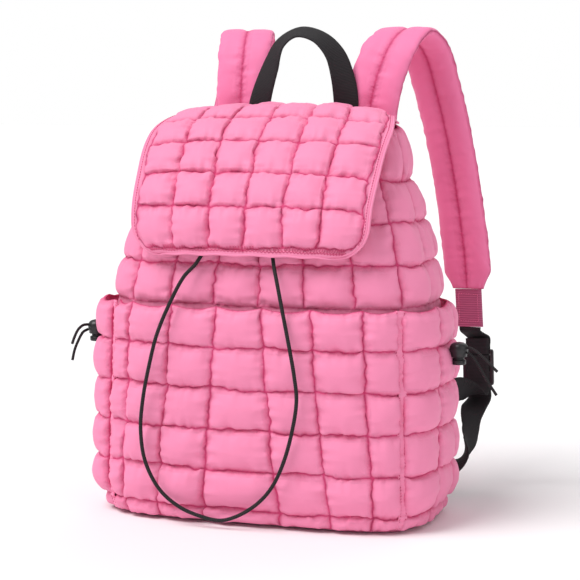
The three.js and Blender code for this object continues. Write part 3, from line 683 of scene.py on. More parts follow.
def ring_piece(name: str, rings: Sequence[Sequence[Vector]], length: float) -> Piece:
    """A closed tube through rings, with a UV map whose V is its length in metres.

    Args:
        name: The piece's name.
        rings: The rings, each with the same number of points.
        length: The tube's length.

    Returns:
        The piece.
    """
    around, along = len(rings[0]), len(rings) - 1
    shape = bmesh.new()
    bmesh.ops.create_grid(shape, x_segments=around, y_segments=along, size=0.5)
    uv = shape.loops.layers.uv.new("UVMap")
    for face in shape.faces:
        for loop in face.loops:
            loop[uv].uv = (loop.vert.co.x + 0.5, (loop.vert.co.y + 0.5) * length)
    for vert in shape.verts:
        column = round((vert.co.x + 0.5) * around) % around
        vert.co = rings[round((vert.co.y + 0.5) * along)][column]
    bmesh.ops.remove_doubles(shape, verts=shape.verts, dist=1e-7)
    ends = [edge for edge in shape.edges if edge.is_boundary]
    for edge in ends:
        edge.smooth = False
    bmesh.ops.holes_fill(shape, edges=ends, sides=0)
    bmesh.ops.recalc_face_normals(shape, faces=shape.faces)
    return new_object(name, shape)


def ribbon_piece(
    name: str,
    points: Sequence[Vector],
    across: Sequence[Vector],
    width: float,
    thickness: float,
    crumple: float = 0.0,
) -> Piece:
    """A flat strip along a line.

    Args:
        name: The piece's name.
        points: The strip's middle line.
        across: The way across it at each point.
        width: Its width.
        thickness: Its thickness.
        crumple: How far its face wanders.

    Returns:
        The piece.
    """
    half, thick = width / 2, thickness / 2
    inner = half - 0.7 * thick
    flat = [mix(-inner, inner, k / 7) for k in range(8)]
    top, under = [(x, thick) for x in flat], [(x, -thick) for x in reversed(flat)]
    outline = top + [(half, 0.0)] + under + [(-half, 0.0)]
    rings = []
    for k, point in enumerate(points):
        run = run_at(points, k)
        side = (across[k] - run * across[k].dot(run)).normalized()
        face = run.cross(side)
        ring = []
        for x, y in outline:
            place = point + side * x + face * y
            if crumple:
                fold = noise.noise(Vector((place.z * 330, x * 60, 4.2))) + 0.6 * noise.noise(place * 120)
                place += face * crumple * fold
            ring.append(place)
        rings.append(ring)
    return ring_piece(name, rings, length_of(points))


def tube_piece(name: str, points: Sequence[Vector], diameter: float, sides: int = 12) -> Piece:
    """A round tube along a line, without twist.

    Args:
        name: The piece's name.
        points: The tube's middle line.
        diameter: Its diameter.
        sides: How many sides it has.

    Returns:
        The piece.
    """
    rings = []
    run = (points[1] - points[0]).normalized()
    side = run.orthogonal().normalized()
    for k, point in enumerate(points):
        run = run_at(points, k)
        side = (side - run * side.dot(run)).normalized()
        other = run.cross(side)
        ring = []
        for n in range(sides):
            turn = 2 * math.pi * n / sides
            ring.append(point + (side * math.cos(turn) + other * math.sin(turn)) * diameter / 2)
        rings.append(ring)
    return ring_piece(name, rings, length_of(points))


def turned_piece(
    name: str, profile: Sequence[tuple[float, float]], centre: Vector, axis: Vector, steps: int = 40
) -> Piece:
    """A piece turned round an axis.

    Args:
        name: The piece's name.
        profile: Radius and height of each point, from pole to pole or as a loop.
        centre: The point at height 0 on the axis.
        axis: The way up.
        steps: How many steps the turn has.

    Returns:
        The piece, with a small bevel on its edges.
    """
    shape = bmesh.new()
    verts = [shape.verts.new((radius, 0.0, height)) for radius, height in profile]
    edges = [shape.edges.new(pair) for pair in zip(verts, verts[1:])]
    if profile[0][0] > 0:
        edges.append(shape.edges.new((verts[-1], verts[0])))
    bmesh.ops.spin(
        shape,
        geom=verts + edges,
        cent=(0, 0, 0),
        axis=(0, 0, 1),
        angle=2 * math.pi,
        steps=steps,
        use_merge=True,
        use_duplicate=False,
    )
    bmesh.ops.remove_doubles(shape, verts=shape.verts, dist=1e-6)
    bmesh.ops.recalc_face_normals(shape, faces=shape.faces)
    turn = axis.to_track_quat("Z", "Y").to_matrix().to_4x4()
    bmesh.ops.transform(shape, matrix=Matrix.Translation(centre) @ turn, verts=shape.verts)
    piece = new_object(name, shape)
    soften(piece, 0.0004, 2, 38)
    return piece


def stitch_piece(name: str, stitches: Rows, thickness: float = 0.00055) -> Piece:
    """Short threads from point to point.

    Args:
        name: The piece's name.
        stitches: The ends of each stitch.
        thickness: The thread's thickness.

    Returns:
        The piece.
    """
    shape = bmesh.new()
    for start, end in stitches:
        run = end - start
        turn = run.to_track_quat("Z", "Y").to_matrix().to_4x4()
        bmesh.ops.create_cone(
            shape,
            cap_ends=True,
            segments=5,
            radius1=thickness / 2,
            radius2=thickness / 2,
            depth=run.length,
            matrix=Matrix.Translation((start + end) / 2) @ turn,
        )
    return new_object(name, shape)


# Finishes


def group_of(name: str, inputs: dict[str, str], outputs: dict[str, str]) -> Tree:
    """An empty shader group with its sockets.

    Args:
        name: The group's name.
        inputs: The kind of each input by its name.
        outputs: The kind of each output by its name.

    Returns:
        The group, with its two end nodes.
    """
    tree = bpy.data.node_groups.new(name, "ShaderNodeTree")
    for label, kind in inputs.items():
        tree.interface.new_socket(name=label, in_out="INPUT", socket_type=kind)
    for label, kind in outputs.items():
        tree.interface.new_socket(name=label, in_out="OUTPUT", socket_type=kind)
    tree.nodes.new("NodeGroupInput").name = "in"
    tree.nodes.new("NodeGroupOutput").name = "out"
    return tree


def math_node(tree: Tree, operation: str, first: Value, second: Value | None = None) -> Socket:
    """Adds one sum and links it.

    Args:
        tree: The node tree.
        operation: The sum's kind.
        first: A socket or a number.
        second: A socket, a number or nothing.

    Returns:
        The sum's output.
    """
    node = tree.nodes.new("ShaderNodeMath")
    node.operation = operation
    for socket, value in zip(node.inputs, (first, second)):
        if isinstance(value, Socket):
            tree.links.new(value, socket)
        elif value is not None:
            socket.default_value = value
    return node.outputs[0]


def noise_node(tree: Tree, place: Socket, scale: float, detail: float) -> Socket:
    """Adds a noise texture at a place and gives back its value."""
    node = tree.nodes.new("ShaderNodeTexNoise")
    node.inputs["Scale"].default_value = scale
    node.inputs["Detail"].default_value = detail
    tree.links.new(place, node.inputs["Vector"])
    return node.outputs["Fac"]


def mix_node(tree: Tree, part: Socket, first: Socket | Triple, second: Socket | Triple) -> Socket:
    """Mixes two colours, each a socket or a colour, by a mask."""
    node = tree.nodes.new("ShaderNodeMix")
    node.data_type = "RGBA"
    tree.links.new(part, node.inputs["Factor"])
    for socket, value in ((node.inputs[6], first), (node.inputs[7], second)):
        if isinstance(value, Socket):
            tree.links.new(value, socket)
        else:
            socket.default_value = (*value, 1.0)
    return node.outputs[2]


def fold_and_shade_group() -> Tree:
    """The small folds, painted seam shade and weave that every quilted piece shares."""
    found = bpy.data.node_groups.get("cloth folds")
    if found:
        return found
    tree = group_of(
        "cloth folds",
        {
            "Place": "NodeSocketVector",
            "Crease": "NodeSocketFloat",
            "Cloth": "NodeSocketColor",
            "Seam": "NodeSocketColor",
        },
        {"Colour": "NodeSocketColor", "Height": "NodeSocketFloat"},
    )
    start, end = tree.nodes["in"], tree.nodes["out"]
    place, crease, cloth, seam = (start.outputs[label] for label in ("Place", "Crease", "Cloth", "Seam"))
    soft = noise_node(tree, place, 34, 2)
    pucker = noise_node(tree, place, 190, 2)
    thread = noise_node(tree, place, 1500, 1)
    near_seam = math_node(tree, "MULTIPLY", pucker, crease)
    height = math_node(tree, "MULTIPLY_ADD", near_seam, 1.7)
    tree.links.new(math_node(tree, "MULTIPLY", soft, 0.8), height.node.inputs[2])
    total = math_node(tree, "ADD", height, math_node(tree, "MULTIPLY", thread, 0.035))
    tree.links.new(total, end.inputs["Height"])
    # Painted shade: near the sewn lines the cloth colour turns to the deep seam colour, as a thin dark line
    # on each seam and a wider mottled band beside it.
    thin = math_node(tree, "MULTIPLY", math_node(tree, "POWER", crease, 4.0), 0.95)
    wide = math_node(tree, "MULTIPLY", math_node(tree, "MULTIPLY", crease, pucker), 0.5)
    mask = math_node(tree, "ADD", thin, wide)
    mask.node.use_clamp = True
    tree.links.new(mix_node(tree, mask, cloth, seam), end.inputs["Colour"])
    return tree


def rib_group() -> Tree:
    """The ribs of woven tape, on the piece's own UV map."""
    found = bpy.data.node_groups.get("tape ribs")
    if found:
        return found
    tree = group_of(
        "tape ribs",
        {"Map": "NodeSocketVector", "Along": "NodeSocketFloat", "Across": "NodeSocketFloat"},
        {"Height": "NodeSocketFloat", "Shade": "NodeSocketFloat"},
    )
    start, end = tree.nodes["in"], tree.nodes["out"]
    split = tree.nodes.new("ShaderNodeSeparateXYZ")
    tree.links.new(start.outputs["Map"], split.inputs[0])
    bands = []
    for socket, label in ((split.outputs["Y"], "Along"), (split.outputs["X"], "Across")):
        turn = math_node(tree, "MULTIPLY", socket, start.outputs[label])
        bands.append(math_node(tree, "SINE", turn))
    both = math_node(tree, "ADD", bands[0], math_node(tree, "MULTIPLY", bands[1], 0.6))
    height = math_node(tree, "MULTIPLY_ADD", both, 0.3)
    height.node.inputs[2].default_value = 0.5
    tree.links.new(height, end.inputs["Height"])
    tree.links.new(height, end.inputs["Shade"])
    return tree


def shader_of(material: bpy.types.Material) -> bpy.types.Node:
    """The material's own shader node."""
    material.use_nodes = True
    return next(node for node in material.node_tree.nodes if node.type == "BSDF_PRINCIPLED")


def bump_into(tree: Tree, height: Socket, shader: bpy.types.Node, strength: float, distance: float) -> None:
    """Feeds a height into the shader's normal."""
    bump = tree.nodes.new("ShaderNodeBump")
    bump.inputs["Strength"].default_value = strength
    bump.inputs["Distance"].default_value = distance
    tree.links.new(height, bump.inputs["Height"])
    tree.links.new(bump.outputs["Normal"], shader.inputs["Normal"])


@dataclass(frozen=True)
class Finish:
    """A named finish that belongs to one of the record's slots."""

    name: str
    slot: Slot

    def fill(self, tree: Tree, shader: bpy.types.Node) -> None:
        """Sets the shader and links the nodes that feed it."""
        raise NotImplementedError

    def material(self) -> bpy.types.Material:
        """The finish's material, made once."""
        material = bpy.data.materials.get(self.name)
        if not material:
            material = bpy.data.materials.new(self.name)
            shader = shader_of(material)
            self.fill(material.node_tree, shader)
        return material

    def dress(self, piece: Piece) -> None:
        """Puts the finish's material on a piece."""
        piece.data.materials.clear()
        piece.data.materials.append(self.material())


@dataclass(frozen=True)
class ClothFinish(Finish):
    """Padded cloth with a soft sheen."""

    cloth: Triple
    # The deep pink painted near the sewn lines as seam shade.
    seam: Triple
    roughness: float = 0.62
    sheen: float = 0.06
    folds: float = 0.85
    fold_depth: float = 0.0024
    sheen_tint: Triple = (1.0, 0.72, 0.84)

    def fill(self, tree: Tree, shader: bpy.types.Node) -> None:
        """Feeds the cloth's folds and the painted seam shade into the shader."""
        group = tree.nodes.new("ShaderNodeGroup")
        group.node_tree = fold_and_shade_group()
        group.inputs["Cloth"].default_value = (*self.cloth, 1.0)
        group.inputs["Seam"].default_value = (*self.seam, 1.0)
        place = tree.nodes.new("ShaderNodeTexCoord")
        crease = tree.nodes.new("ShaderNodeAttribute")
        crease.attribute_name = "crease"
        tree.links.new(place.outputs["Object"], group.inputs["Place"])
        tree.links.new(crease.outputs["Fac"], group.inputs["Crease"])
        tree.links.new(group.outputs["Colour"], shader.inputs["Base Color"])
        bump_into(tree, group.outputs["Height"], shader, self.folds, self.fold_depth)
        shader.inputs["Roughness"].default_value = self.roughness
        shader.inputs["Sheen Weight"].default_value = self.sheen
        shader.inputs["Sheen Roughness"].default_value = 0.45
        shader.inputs["Sheen Tint"].default_value = (*self.sheen_tint, 1.0)
        shader.inputs["Specular IOR Level"].default_value = 0.32


@dataclass(frozen=True)
class TapeFinish(Finish):
    """Woven tape or braided cord with ribs on its UV map."""

    colour: Triple
    light: Triple
    along: float
    across: float
    relief: float = 0.0004
    roughness: float = 0.7

    def fill(self, tree: Tree, shader: bpy.types.Node) -> None:
        """Feeds the ribs' relief and their lit edges into the shader."""
        group = tree.nodes.new("ShaderNodeGroup")
        group.node_tree = rib_group()
        group.inputs["Along"].default_value = self.along
        group.inputs["Across"].default_value = self.across
        uv = tree.nodes.new("ShaderNodeUVMap")
        uv.uv_map = "UVMap"
        tree.links.new(uv.outputs["UV"], group.inputs["Map"])
        colour = mix_node(tree, group.outputs["Shade"], self.colour, self.light)
        tree.links.new(colour, shader.inputs["Base Color"])
        bump_into(tree, group.outputs["Height"], shader, 0.8, self.relief)
        shader.inputs["Roughness"].default_value = self.roughness
        shader.inputs["Specular IOR Level"].default_value = 0.3


@dataclass(frozen=True)
class MouldedFinish(Finish):
    """Moulded plastic, or smooth thread, with a fine grain."""

    colour: Triple
    roughness: float

    def fill(self, tree: Tree, shader: bpy.types.Node) -> None:
        """Feeds the grain into the shader."""
        place = tree.nodes.new("ShaderNodeTexCoord")
        grain = noise_node(tree, place.outputs["Object"], 2200, 2)
        bump_into(tree, grain, shader, 0.12, 0.0002)
        shader.inputs["Base Color"].default_value = (*self.colour, 1.0)
        shader.inputs["Roughness"].default_value = self.roughness


# Each cloth's second colour is the deep pink of its painted seam shade.
QUILT_CLOTH = ClothFinish("pink quilt cloth", Slot.PINK_CLOTH, (0.9, 0.265, 0.45), (0.62, 0.045, 0.165))
STRAP_CLOTH = ClothFinish("pink strap cloth", Slot.PINK_CLOTH, (0.89, 0.215, 0.42), (0.62, 0.06, 0.19))
PINK_TAPE = TapeFinish(
    "pink ribbed tape", Slot.PINK_WEBBING, (0.3, 0.05, 0.12), (0.6, 0.16, 0.3), 2600.0, 0.0
)
BLACK_TAPE = TapeFinish(
    "black ribbed tape", Slot.BLACK_WEBBING, (0.006, 0.005, 0.006), (0.03, 0.027, 0.03), 4200.0, 0.0
)
BLACK_BRAID = TapeFinish(
    "black braid", Slot.BLACK_CORD, (0.005, 0.004, 0.005), (0.028, 0.025, 0.027), 3600.0, 50.0, 0.0003
)
BLACK_PLASTIC = MouldedFinish("black satin plastic", Slot.BLACK_PLASTIC, (0.014, 0.013, 0.015), 0.36)
PINK_PLASTIC = MouldedFinish("pink satin plastic", Slot.PINK_PLASTIC, (0.81, 0.21, 0.42), 0.35)
DEEP_THREAD = MouldedFinish("deep pink thread", Slot.PINK_CLOTH, (0.62, 0.06, 0.18), 0.6)
PINK_THREAD = MouldedFinish("pink thread", Slot.PINK_CLOTH, (0.8, 0.2, 0.38), 0.6)


# The bag's own pieces


@dataclass
class Bag:
    """What every sub-assembly needs: where its pieces ride and the cloth to be puffed."""

    puffing: PuffingTable = field(default_factory=PuffingTable)

    def keep(self, piece: Piece, *nodes: str, body: str = "bag") -> Piece:
        """Reports a finished piece, hides the nodes that it stands for and ties it to its body.

        Args:
            piece: The dressed piece.
            nodes: The CAD nodes that it stands for.
            body: The body that it moves with.

        Returns:
            The piece.
        """
        if nodes:
            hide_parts(*nodes)
        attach(piece, body)
        log.info("%s made, %d faces", piece.name, len(piece.data.polygons))
        return piece


@dataclass
class BagBody:
    """The quilted shell with its lining and flat base."""

    bag: Bag
    wall: float = 0.0025
    front_puff: float = 0.0082
    back_puff: float = 0.0042
    covered_puff: float = 0.002
    step: float = 0.0025

    def loft(self, share: float, height: float) -> float:
        """How far a cell's middle stands out there."""
        part = share - math.floor(share)
        backward = smooth((min(part, 1 - part) - 0.335) / 0.05)
        under = (1 - smooth((height - BODY.pocket_top + 0.004) / 0.012)) * (1 - backward)
        seat = backward * smooth((height - (BODY.height - 1.2 * BODY.pitch)) / 0.0156)
        return mix(mix(self.front_puff, self.back_puff, backward), self.covered_puff, under) * (1 - seat)

    def build(self) -> Piece:
        """Lays the shell as one closed layer, and puts it down for puffing."""
        lines = [(k + BODY.phase) / BODY.columns for k in range(BODY.columns + 1)]
        columns = stops(lines, BODY.girth, self.step)
        columns[-1] = Stop(columns[-1].at)
        rows = stops([0.0, *BODY.row_lines(0, BODY.rows)], 1.0, self.step)
        rows[0] = Stop(0.0, wavy=False)
        lining = [BODY.height, *reversed(BODY.row_lines(0, BODY.rows - 1)), self.wall]
        rows += [Stop(height, inset=self.wall, wavy=False) for height in lining]
        quilt = Quilt(
            "quilted body",
            columns,
            rows,
            BODY.point,
            BODY.normal,
            self.loft,
            closed=True,
            full_loft=self.front_puff,
        )
        piece = quilt.build()
        close_ends(piece)
        self.bag.puffing.lay(piece)
        return piece

    def finish(self, piece: Piece) -> None:
        """Dresses the puffed shell."""
        subdivide(piece)
        QUILT_CLOTH.dress(piece)
        self.bag.keep(piece, "bag_shell")


@dataclass
class Pocket:
    """A quilted pocket layer, open along its top."""

    bag: Bag
    word: str
    near: float
    far: float
    lines: list[float]
    spread: float
    closed: float = 0.0033
    wall: float = 0.0025
    cloth: float = 0.0022
    bottom: float = 0.003
    puff: float = 0.0068
    rim_dip: float = 0.0032
    step: float = 0.0023

    def outer(self, share: float, height: float) -> float:
        """How far the layer's outside stands off the body."""
        along = min(1.0, max(0.0, (share - self.near) / (self.far - self.near)))
        rise = smooth((height - self.bottom) / 0.04)
        fullness = 0.55 + 0.45 * math.sqrt(max(0.0, math.sin(math.pi * along)))
        return self.closed + self.wall + self.spread * rise * fullness

    def place(self, share: float, height: float, offset: float) -> Vector:
        """A point on the layer, with the rim a little lower between the stitch lines."""
        cell = 0.0
        for before, after in zip(self.lines, self.lines[1:]):
            if before <= share <= after:
                cell = math.sin(math.pi * (share - before) / (after - before))
        high = smooth((height - BODY.pocket_top + 0.014) / 0.014)
        roll = 0.0016 * high * high
        point = BODY.point(share, height, self.outer(share, height) + offset - roll)
        point.z -= self.rim_dip * cell * high
        return point

    def build(self) -> Piece:
        """Lays the layer and puts it down for puffing."""
        columns = bound(stops(self.lines, BODY.girth, self.step))
        rows = bound(stops([self.bottom, *BODY.row_lines(0, BODY.pocket_rows)], 1.0, self.step))
        quilt = Quilt(
            f"{self.word} layer",
            columns,
            rows,
            self.place,
            BODY.normal,
            lambda share, height: self.puff,
            full_loft=self.puff,
        )
        piece = quilt.build()
        self.bag.puffing.lay(piece)
        return piece

    def finish(self, piece: Piece) -> None:
        """Gives the puffed layer its thickness and dresses it."""
        thicken(piece, self.cloth)
        subdivide(piece)
        QUILT_CLOTH.dress(piece)
        self.bag.keep(piece, self.word)


def all_pockets(bag: Bag) -> list[Pocket]:
    """The three pockets, with the ends and lines that the solids have."""
    end = 0.172
    gap = GAP / BODY.girth
    pitch = 1 / BODY.columns
    near, far = end + gap, 0.328
    right = lines_between(near, far, pitch, near / pitch + 0.9)
    front = lines_between(-end + gap, end - gap, pitch, 0.39)
    left = [-line for line in reversed(right)]
    return [
        Pocket(bag, "front_pocket", front[0], front[-1], front, 0.0065),
        Pocket(bag, "side_pocket_right", near, far, right, 0.008),
        Pocket(bag, "side_pocket_left", -far, -near, left, 0.013),
    ]


@dataclass
class CornerStrip:
    """The gathered strip over the seam between the front pocket and a side pocket."""

    bag: Bag
    side: Side
    share: float = 0.172
    width: float = 0.0095
    thickness: float = 0.0022
    crumple: float = 0.0011
    stand: tuple[float, float] = (0.0032, 0.0042)
    foot: float = 0.004
    top: float = 0.2105
    count: int = 230
    stitch_edge: float = 0.0035
    stitch_length: float = 0.0016
    stitch_pitch: float = 0.0028

    def line(self, height: float, around: float) -> Vector:
        """A point on the strip's middle line."""
        rise = smooth((height - 0.003) / 0.04)
        stand = self.stand[1] if self.side is Side.LEFT else self.stand[0]
        sway = 0.0012 * math.sin(height * 61) / BODY.girth
        share = self.side.value * (self.share + sway) + around
        return BODY.point(share, height, 0.0058 + stand * rise)

    def build(self) -> None:
        """Makes the strip and the close stitches beside it."""
        heights = [mix(self.foot, self.top, k / self.count) for k in range(self.count + 1)]
        step = 0.002 / BODY.girth
        points = [self.line(height, 0.0) for height in heights]
        across = [self.line(height, step) - self.line(height, -step) for height in heights]
        name = f"corner strip {self.side.word}"
        piece = ribbon_piece(name, points, across, self.width, self.thickness, self.crumple)
        QUILT_CLOTH.dress(piece)
        subdivide(piece)
        self.bag.keep(piece)
        stitches = []
        place = self.foot + 0.002
        edge = self.stitch_edge / BODY.girth
        while place < self.top - 0.0025:
            out = Vector(BODY.normal(self.side.value * self.share, place)) * 0.0012
            for way in (-1, 1):
                start = self.line(place, way * edge) + out
                end = self.line(place + self.stitch_length, way * edge * 0.82) + out
                stitches.append((start, end))
            place += self.stitch_pitch
        thread = stitch_piece(f"corner stitches {self.side.word}", stitches, 0.0008)
        DEEP_THREAD.dress(thread)
        self.bag.keep(thread)


@dataclass
class Flap:
    """The quilted lid with its flat hem."""

    bag: Bag
    length: float = 0.236
    widest: tuple[float, float] = (0.118, 0.124)
    narrow: float = 0.108
    corner: float = 0.03
    edge: float = 0.0026
    cloth: float = 0.003
    hem: float = 0.007
    columns: int = 6
    rows: int = 6
    puff: float = 0.0075
    step: float = 0.0023
    profile: Profile = (
        (1.085, 0.709),
        (1.02, 0.83),
        (0.862, 0.923),
        (0.695, 1.0),
        (0.483, 1.058),
        (0.27, 1.083),
        (0.02, 1.0665),
    )
    run: list[Vector] = field(default_factory=list)

    def __post_init__(self) -> None:
        """Works out the flap's middle line."""
        depth, height = BODY.half_depth, BODY.height
        rows = [Vector((0.0, depth - 2 * depth * forward, height * up)) for forward, up in self.profile]
        self.run = even_points(fine_points(rows), 401)

    @property
    def hem_share(self) -> float:
        """The hem as a share of half the flap's width."""
        return self.hem / self.widest[1]

    def half_width(self, share: float) -> float:
        """Half the flap's width at a share of its length."""
        wide = mix(*self.widest, smooth(1.6 * share))
        return mix(wide, self.narrow, smooth((share - 0.6) / 0.4))

    def place(self, part: float, along: float, offset: float) -> Vector:
        """A point on the flap.

        Args:
            part: The way across, from -1 to 1.
            along: The distance from the hem.
            offset: How far outwards.

        Returns:
            The point.
        """
        share = min(1.0, max(0.0, along / self.length))
        step = share * 400
        low = min(399, int(step))
        middle = self.run[low].lerp(self.run[low + 1], step - low)
        way = (self.run[min(400, low + 3)] - self.run[max(0, low - 3)]).normalized()
        outward = Vector((0.0, -way.z, way.y))
        corner = max(0.0, 1 - along / self.corner)
        cube = abs(part) ** 3
        cut = self.corner * (1 - math.sqrt(max(0.0, 1 - corner * corner))) * cube
        x = part * self.half_width(share) - math.copysign(cut, part) - 0.005 * smooth(1.6 * share)
        sag = Vector((0.0, 0.0, 0.0004 * math.sin(part * 21) * max(0.0, 1 - along / 0.02)))
        return middle + outward * (offset - 0.009 * cube) + sag + Vector((x, 0.0, 0.0))

    def facing(self, part: float, along: float) -> Vector:
        """The outward direction there."""
        around = self.place(part + 0.02, along, 0) - self.place(part - 0.02, along, 0)
        upward = self.place(part, along + 0.003, 0) - self.place(part, along - 0.003, 0)
        if upward.length < 1e-6 or around.length < 1e-6:
            return Vector((0.0, -1.0, 0.0))
        return around.cross(upward).normalized()

    def loft(self, part: float, along: float) -> float:
        """How full the flap is there: flat in its hem."""
        in_hem = along < self.hem - 1e-6 or abs(part) > 1 - self.hem_share + 1e-6
        return 0.0005 if in_hem else self.puff

    def build(self) -> Piece:
        """Lays the flap and puts it down for puffing."""
        inner = 1 - self.hem_share
        lines = [mix(-inner, inner, k / self.columns) for k in range(self.columns + 1)]
        cells = (self.length - self.hem) / self.rows
        columns = bound(stops([-1.0, *lines, 1.0], self.widest[1], self.step))
        rows = bound(stops([0.0, *(self.hem + k * cells for k in range(self.rows + 1))], 1.0, self.step))
        quilt = Quilt(
            "quilted flap", columns, rows, self.place, self.facing, self.loft, full_loft=self.puff
        )
        piece = quilt.build()
        self.bag.puffing.lay(piece)
        return piece

    def finish(self, piece: Piece) -> None:
        """Gives the puffed flap its thickness, its rolled edge and its stitches."""
        thicken(piece, self.cloth)
        subdivide(piece)
        QUILT_CLOTH.dress(piece)
        self.bag.keep(piece, "flap")
        self.roll()
        self.sew()

    def roll(self) -> None:
        """Makes the narrow rolled edge round the flap's sides and hem."""
        route = [
            ((-1.0, self.length), (-1.0, self.corner), 30),
            ((-1.0, self.corner), (-1.0, 0.0), 24),
            ((-1.0, 0.0), (1.0, 0.0), 80),
            ((1.0, 0.0), (1.0, self.corner), 24),
            ((1.0, self.corner), (1.0, self.length), 30),
        ]
        edge = [self.place(*route[0][0], -self.edge / 2)]
        for start, end, count in route:
            for k in range(1, count + 1):
                part, along = (mix(low, high, k / count) for low, high in zip(start, end))
                edge.append(self.place(part, along, -self.edge / 2))
        piece = tube_piece("flap edge", even_points(edge, 420), self.edge, 10)
        QUILT_CLOTH.dress(piece)
        self.bag.keep(piece)

    def sew(self) -> None:
        """Makes the zigzag stitches along the hem and the sides."""
        stitches = []
        count = 118
        for k in range(count):
            low = 0.0026 if k % 2 else 0.0046
            high = 0.0046 if k % 2 else 0.0026
            first, last = (mix(-0.93, 0.93, (k + n) / count) for n in (0, 1))
            stitches.append((self.place(first, low, 0.0004), self.place(last, high, 0.0004)))
        for way in (-1, 1):
            place = 0.012
            while place < self.length - 0.004:
                at = way * (1 - self.hem_share * 0.45)
                stitches.append((self.place(at, place, 0.0004), self.place(at, place + 0.0018, 0.0004)))
                place += 0.0031
        for k in range(76):
            at = mix(-0.9, 0.9, (k + 0.35 * noise.noise(Vector((k * 1.7, 0.0, 0.0)))) / 75)
            lean = 0.004 * noise.noise(Vector((k * 0.9, 3.0, 0.0)))
            stitches.append((self.place(at, 0.0048, 0.0003), self.place(at + lean, 0.0082, 0.0012)))
        thread = stitch_piece("flap stitches", stitches, 0.0007)
        DEEP_THREAD.dress(thread)
        self.bag.keep(thread)


STRAP_ROOT = Vector((0.07, 0.0862, 0.387))
STRAP_REACH = 0.092


@dataclass
class Strap:
    """A padded shoulder strap that arches up and back."""

    bag: Bag
    side: Side
    width: float = 0.056
    tip: float = 0.036
    thickness: float = 0.0105
    ripple: float = 0.0007
    ripples: float = 46.0
    rows: tuple[tuple[float, float, float, float, float], ...] = (
        (0.0, 0.0, 0.0, -0.39, 0),
        (0.0, -0.02, 0.0, -0.02, 0),
        (0.07, -0.02, 0.03, 0.42, 0),
        (0.2, 0.0, 0.18, 0.8, 2),
        (0.3, 0.07, 0.45, 0.94, 6),
        (0.42, 0.16, 0.72, 0.76, 10),
        (0.54, 0.28, 0.86, 0.3, 14),
        (0.67, 0.48, 0.93, -0.3, 16),
        (0.78, 0.74, 1.0, -1.02, 16),
        (0.86, 0.86, 1.04, -1.72, 14),
        (0.87, 0.87, 1.045, -1.95, 13),
    )
    line: list[Vector] = field(default_factory=list)
    across: list[Vector] = field(default_factory=list)
    count: int = 160

    def __post_init__(self) -> None:
        """Works out the strap's middle line and its way across."""
        rows = []
        for right, left, back, up, turn in self.rows:
            out = right if self.side is Side.RIGHT else left
            point = STRAP_ROOT + Vector((out, back, up)) * STRAP_REACH
            point.x *= self.side.value
            angle = math.radians(turn)
            rows.append((point, Vector((math.cos(angle), -self.side.value * math.sin(angle), 0.0))))
        self.line, self.across = spline_frames(rows, self.count + 1)

    @property
    def length(self) -> float:
        """The strap's length."""
        return length_of(self.line)

    def frame(self, share: float) -> tuple[Vector, Vector, Vector]:
        """The middle, the way across and the way out at a share of the strap's length."""
        step = min(1.0, max(0.0, share)) * self.count
        low = min(self.count - 1, int(step))
        middle = self.line[low].lerp(self.line[low + 1], step - low)
        run = (self.line[min(self.count, low + 2)] - self.line[max(0, low - 1)]).normalized()
        across = self.across[low].lerp(self.across[low + 1], step - low)
        across = (across - run * across.dot(run)).normalized()
        return middle, across, across.cross(run)

    def place(self, turn: float, share: float, offset: float) -> Vector:
        """A point on the strap's cover.

        Args:
            turn: The share of the way round it, from one edge.
            share: The share of its length.
            offset: How far outwards.

        Returns:
            The point.
        """
        middle, across, out = self.frame(share)
        angle = 2 * math.pi * turn
        cosine, sine = math.cos(angle), math.sin(angle)
        half = mix(self.width / 2, self.tip / 2, smooth((share - 0.95) / 0.05))
        end = smooth(min(share, 1 - share) / 0.03)
        thick = self.thickness / 2 * mix(0.45, 1.0, end)
        x = math.copysign(abs(cosine) ** 0.9, cosine) * half
        y = math.copysign(abs(sine) ** 0.6, sine) * thick
        dip = 0.0022 * math.exp(-((abs(cosine) / 0.1) ** 2)) * end
        drift = 0.3 * math.sin(11 * share) + 0.12 * math.copysign(1.0, cosine)
        slant = self.ripples * share + drift + 0.35 * abs(cosine)
        even = 0.55 + 0.45 * math.sin(37 * share + 2 * cosine)
        dip += self.ripple * even * math.sin(2 * math.pi * slant) * end * (1 - cosine**4)
        y -= math.copysign(dip, sine) if abs(sine) > 0.5 else 0.0
        return middle + across * x + out * (y + math.copysign(offset, sine) * min(1.0, abs(sine) * 3))

    def facing(self, turn: float, share: float) -> Vector:
        """The outward direction there."""
        _, across, out = self.frame(share)
        angle = 2 * math.pi * turn
        return (across * math.cos(angle) + out * math.sin(angle)).normalized()

    def build(self) -> Piece:
        """Lays the cover and puts it down for puffing."""
        columns = stops([0.0, 0.25, 0.5, 0.75, 1.0], 0.126, 0.0026)
        columns = [replace(column, wavy=False) for column in columns]
        rows = stops([0.0, 1.0], self.length, 0.0026)
        rows = [replace(row, swell=min(1.0, 3 * row.swell), wavy=False) for row in rows]
        quilt = Quilt(
            f"padded strap {self.side.word}",
            columns,
            rows,
            self.place,
            self.facing,
            lambda turn, share: 0.0012,
            closed=True,
            full_loft=0.0012,
            seam_drop=0.0,
            pucker=0.0026,
            sag=0.0,
        )
        piece = quilt.build()
        self.bag.puffing.lay(piece, growth=0.16, pressure=220)
        return piece

    def finish(self, piece: Piece) -> None:
        """Closes the strap's ends, dresses it and sews its middle."""
        close_ends(piece)
        subdivide(piece)
        STRAP_CLOTH.dress(piece)
        self.bag.keep(piece, f"shoulder_strap_{self.side.word}")
        stitches = []
        count = round(self.length / 0.0034)
        for face in (0.25, 0.75):
            for k in range(4, count - 2):
                start = self.place(face, k / count, 0.0002)
                stitches.append((start, self.place(face, (k + 0.6) / count, 0.0002)))
        thread = stitch_piece(f"strap stitches {self.side.word}", stitches)
        PINK_THREAD.dress(thread)
        self.bag.keep(thread)


